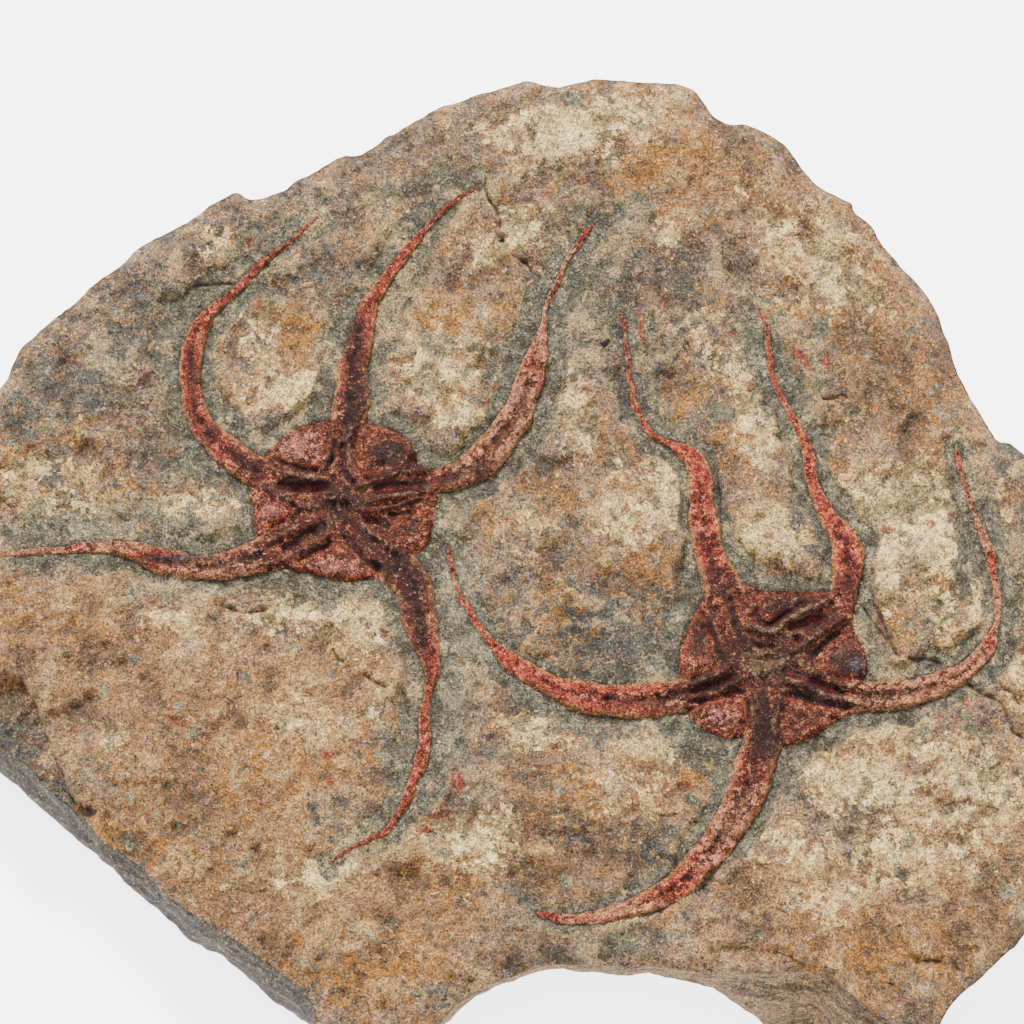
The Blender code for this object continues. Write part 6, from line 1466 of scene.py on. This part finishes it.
    colour = shaded(tree, colour, [
        (noise["grit"], 0.34, 0.66, 0.42, 1.9), (chip["grain"], 0.0, 1.0, 0.6, 1.5),
        (chip["small"], 0.0, 1.0, 0.84, 1.18),
    ])
    relief = [
        (noise["grit"], 1.0), (noise["fleck"], 2.5), (chip["small"], 0.6), (chip["large"], 0.6),
        (noise["crust"], 3.0),
    ]
    rough_finish(tree, colour, relief, depth=0.95, roughness=0.85, specular=0.3)
    return material


def fossil_material():
    """Fossil plates, reddened by iron and weathered.

    They give the eye a brick-red, gritty crust with a faint gloss, purple black in its grooves and joints
    and orange at its rims.
    """
    material, tree, place = new_material("iron-red fossil")
    turned = add(tree, "ShaderNodeMapping", {"Vector": place, "Rotation": (0.4, 0.7, 1.1)})
    at = {}
    for kind in [*FOSSIL_TONES, "across", "half", "run", "ridge", "slit", "border", "deep"]:
        at[kind] = add(tree, "ShaderNodeAttribute", attribute_name=kind, out="Fac")
    noise = {}
    for name, bump, detail, roughness, where in [
        ("patch", 2.6, 6, 0.75, place), ("crust", 1.7, 6, 0.78, turned), ("fleck", 0.9, 4, 0.8, place),
        ("grit", 0.3, 2, 0.6, place),
    ]:
        noise[name] = add(tree, "ShaderNodeTexNoise", {
            "Vector": where, "Scale": per_mm(bump), "Detail": detail, "Roughness": roughness,
        }, out="Fac")
    _, plate = torn_cells(tree, place, 1.2, 4.0, 3, {"large": 1.5, "small": 0.6})
    blotch, speckle = [
        add(tree, "ShaderNodeMath", {0: plate[size], 1: 0.3, 2: noise[name]}, operation="MULTIPLY_ADD")
        for size, name in (("large", "patch"), ("small", "crust"))
    ]
    middle = add(tree, "ShaderNodeMath", {0: at["across"]}, operation="ABSOLUTE")
    groove = add(tree, "ShaderNodeMath", {0: at["half"], 1: -0.3, 2: middle}, operation="MULTIPLY_ADD")
    joint = add(tree, "ShaderNodeMath", {0: at["run"], 1: JOINT / 2}, operation="PINGPONG")
    colour = paint(tree, tone("#9f3c2b"), [
        (0.0, blotch, 1.0, 0.67, 0.74, 0.75, "#cb5535"),
        (at["deep"], noise["patch"], 0.8, 0.60, 1.35, 0.85, "#51251a"),
        (0.0, speckle, -1.0, -0.55, -0.50, 0.8, "#3b1911"),
        (0.0, speckle, 1.0, 0.75, 0.80, 0.65, "#de8159"),
        (at["flame"], speckle, 1.8, 1.50, 1.75, 0.85, "#a94c2a"),
        (at["rose"], speckle, 1.8, 1.50, 1.75, 0.7, "#af675c"),
        (middle, noise["fleck"], 1.2, 1.24, 1.42, 0.75, "#be7f4e"),
        (at["border"], speckle, 1.8, 1.75, 2.15, 0.55, "#a94c2a"),
        (at["ridge"], speckle, 1.8, 1.50, 2.10, 0.6, "#412a22"),
        (at["worn"], speckle, 1.8, 1.40, 1.66, 0.7, "#c2855f"),
        (at["dusk"], speckle, 1.8, 1.50, 1.75, 0.85, "#301c16"),
        (at["slate"], speckle, 1.8, 1.55, 1.95, 0.6, "#53535a"),
        (at["tan"], speckle, 1.8, 1.60, 1.90, 0.75, "#705436"),
        # a painted highlight along the ridges' crests
        (at["ridge"], speckle, 2.4, 2.45, 2.90, 0.35, "#aa8467"),
        (groove, speckle, 1.6, 0.72, 0.42, 0.68, "#2f1814"),
        (joint, speckle, 1.0, 0.80, 0.60, 0.5, "#331813"),
        # pale grains, with a painted glint
        (0.0, noise["fleck"], 1.0, 0.59, 0.67, 0.5, "#f4a871"),
        (0.0, noise["fleck"], -1.0, -0.42, -0.36, 0.7, "#231614"),
        # painted shade along the slits' walls, over their dark red floors
        (at["slit"], noise["fleck"], 1.0, 0.70, 0.95, 0.85, "#311618"),
        (at["slit"], noise["fleck"], 1.0, 1.34, 1.66, 0.75, "#74251e"),
        (middle, noise["patch"], 1.6, 1.75, 1.95, 0.7, "#58584c"),
        (at["half"], speckle, -1.6, -0.60, -1.00, 0.5, "#8c836a"),
        (0.0, noise["grit"], 1.0, 0.68, 0.78, 0.5, "#ffe8bc"),
    ])
    colour = shaded(tree, colour, [
        (noise["grit"], 0.34, 0.66, 0.25, 2.0), (plate["small"], 0.0, 1.0, 0.5, 1.65),
    ])
    relief = [(noise["grit"], 1.0), (noise["fleck"], 2.5), (plate["small"], 0.8), (noise["crust"], 3.0)]
    rough_finish(tree, colour, relief, depth=1.3, roughness=0.66, specular=0.25)
    return material


# ---- the scene

def build_object():
    """The slab, then each star's disc and arms, all in place."""
    stone, fossil = stone_material(), fossil_material()
    rim = make_slab(stone)
    for star in STARS:
        make_disc(star, rim, fossil)
        for index in range(len(star["arms"])):
            make_arm(star, index, rim, fossil)


def floor_material():
    """A white light table of matt glass: an even, bright ground on which shadows stay faint."""
    material, tree, _ = new_material("pale floor")
    shader = add(tree, "ShaderNodeBsdfPrincipled", {
        "Base Color": tone("#f8f9fb"), "Roughness": 0.9,
        "Emission Color": tone("#fbfcff"), "Emission Strength": FLOOR_GLOW,
    })
    add(tree, "ShaderNodeOutputMaterial", {"Surface": shader})
    return material


def studio():
    """A pale floor, a soft key light from beyond the slab's upper edge, and an even pale surround."""
    mesh = bpy.data.meshes.new("floor")
    far = FLOOR_REACH
    mesh.from_pydata([(-far, -far, 0), (far, -far, 0), (far, far, 0), (-far, far, 0)], [], [(0, 1, 2, 3)])
    mesh.materials.append(floor_material())
    floor = bpy.data.objects.new("floor", mesh)
    bpy.context.scene.collection.objects.link(floor)
    key = bpy.data.lights.new("key light", "SUN")
    key.energy = KEY_STRENGTH
    key.angle = math.radians(KEY_SOFTNESS)
    lamp = bpy.data.objects.new("key light", key)
    lamp.rotation_euler = Vector(KEY_FROM).to_track_quat("Z", "Y").to_euler()
    bpy.context.scene.collection.objects.link(lamp)
    world = bpy.data.worlds.new("surround")
    world.use_nodes = True
    surround = world.node_tree.nodes["Background"].inputs
    surround["Color"].default_value = tone("#f4f6f8")
    surround["Strength"].default_value = SURROUND_STRENGTH
    bpy.context.scene.world = world


def place_camera():
    """The camera looks down on the slab, leaning towards its lower edge."""
    tilt = math.radians(CAMERA_TILT)
    data = bpy.data.cameras.new("camera")
    data.sensor_width = SENSOR
    data.lens = FOCAL_LENGTH
    camera = bpy.data.objects.new("camera", data)
    camera.location = Vector(AIM) * MM + Vector((0, -math.sin(tilt), math.cos(tilt))) * CAMERA_DISTANCE
    camera.rotation_euler = (tilt, 0, 0)
    bpy.context.scene.collection.objects.link(camera)
    bpy.context.scene.camera = camera


build_object()
studio()
place_camera()
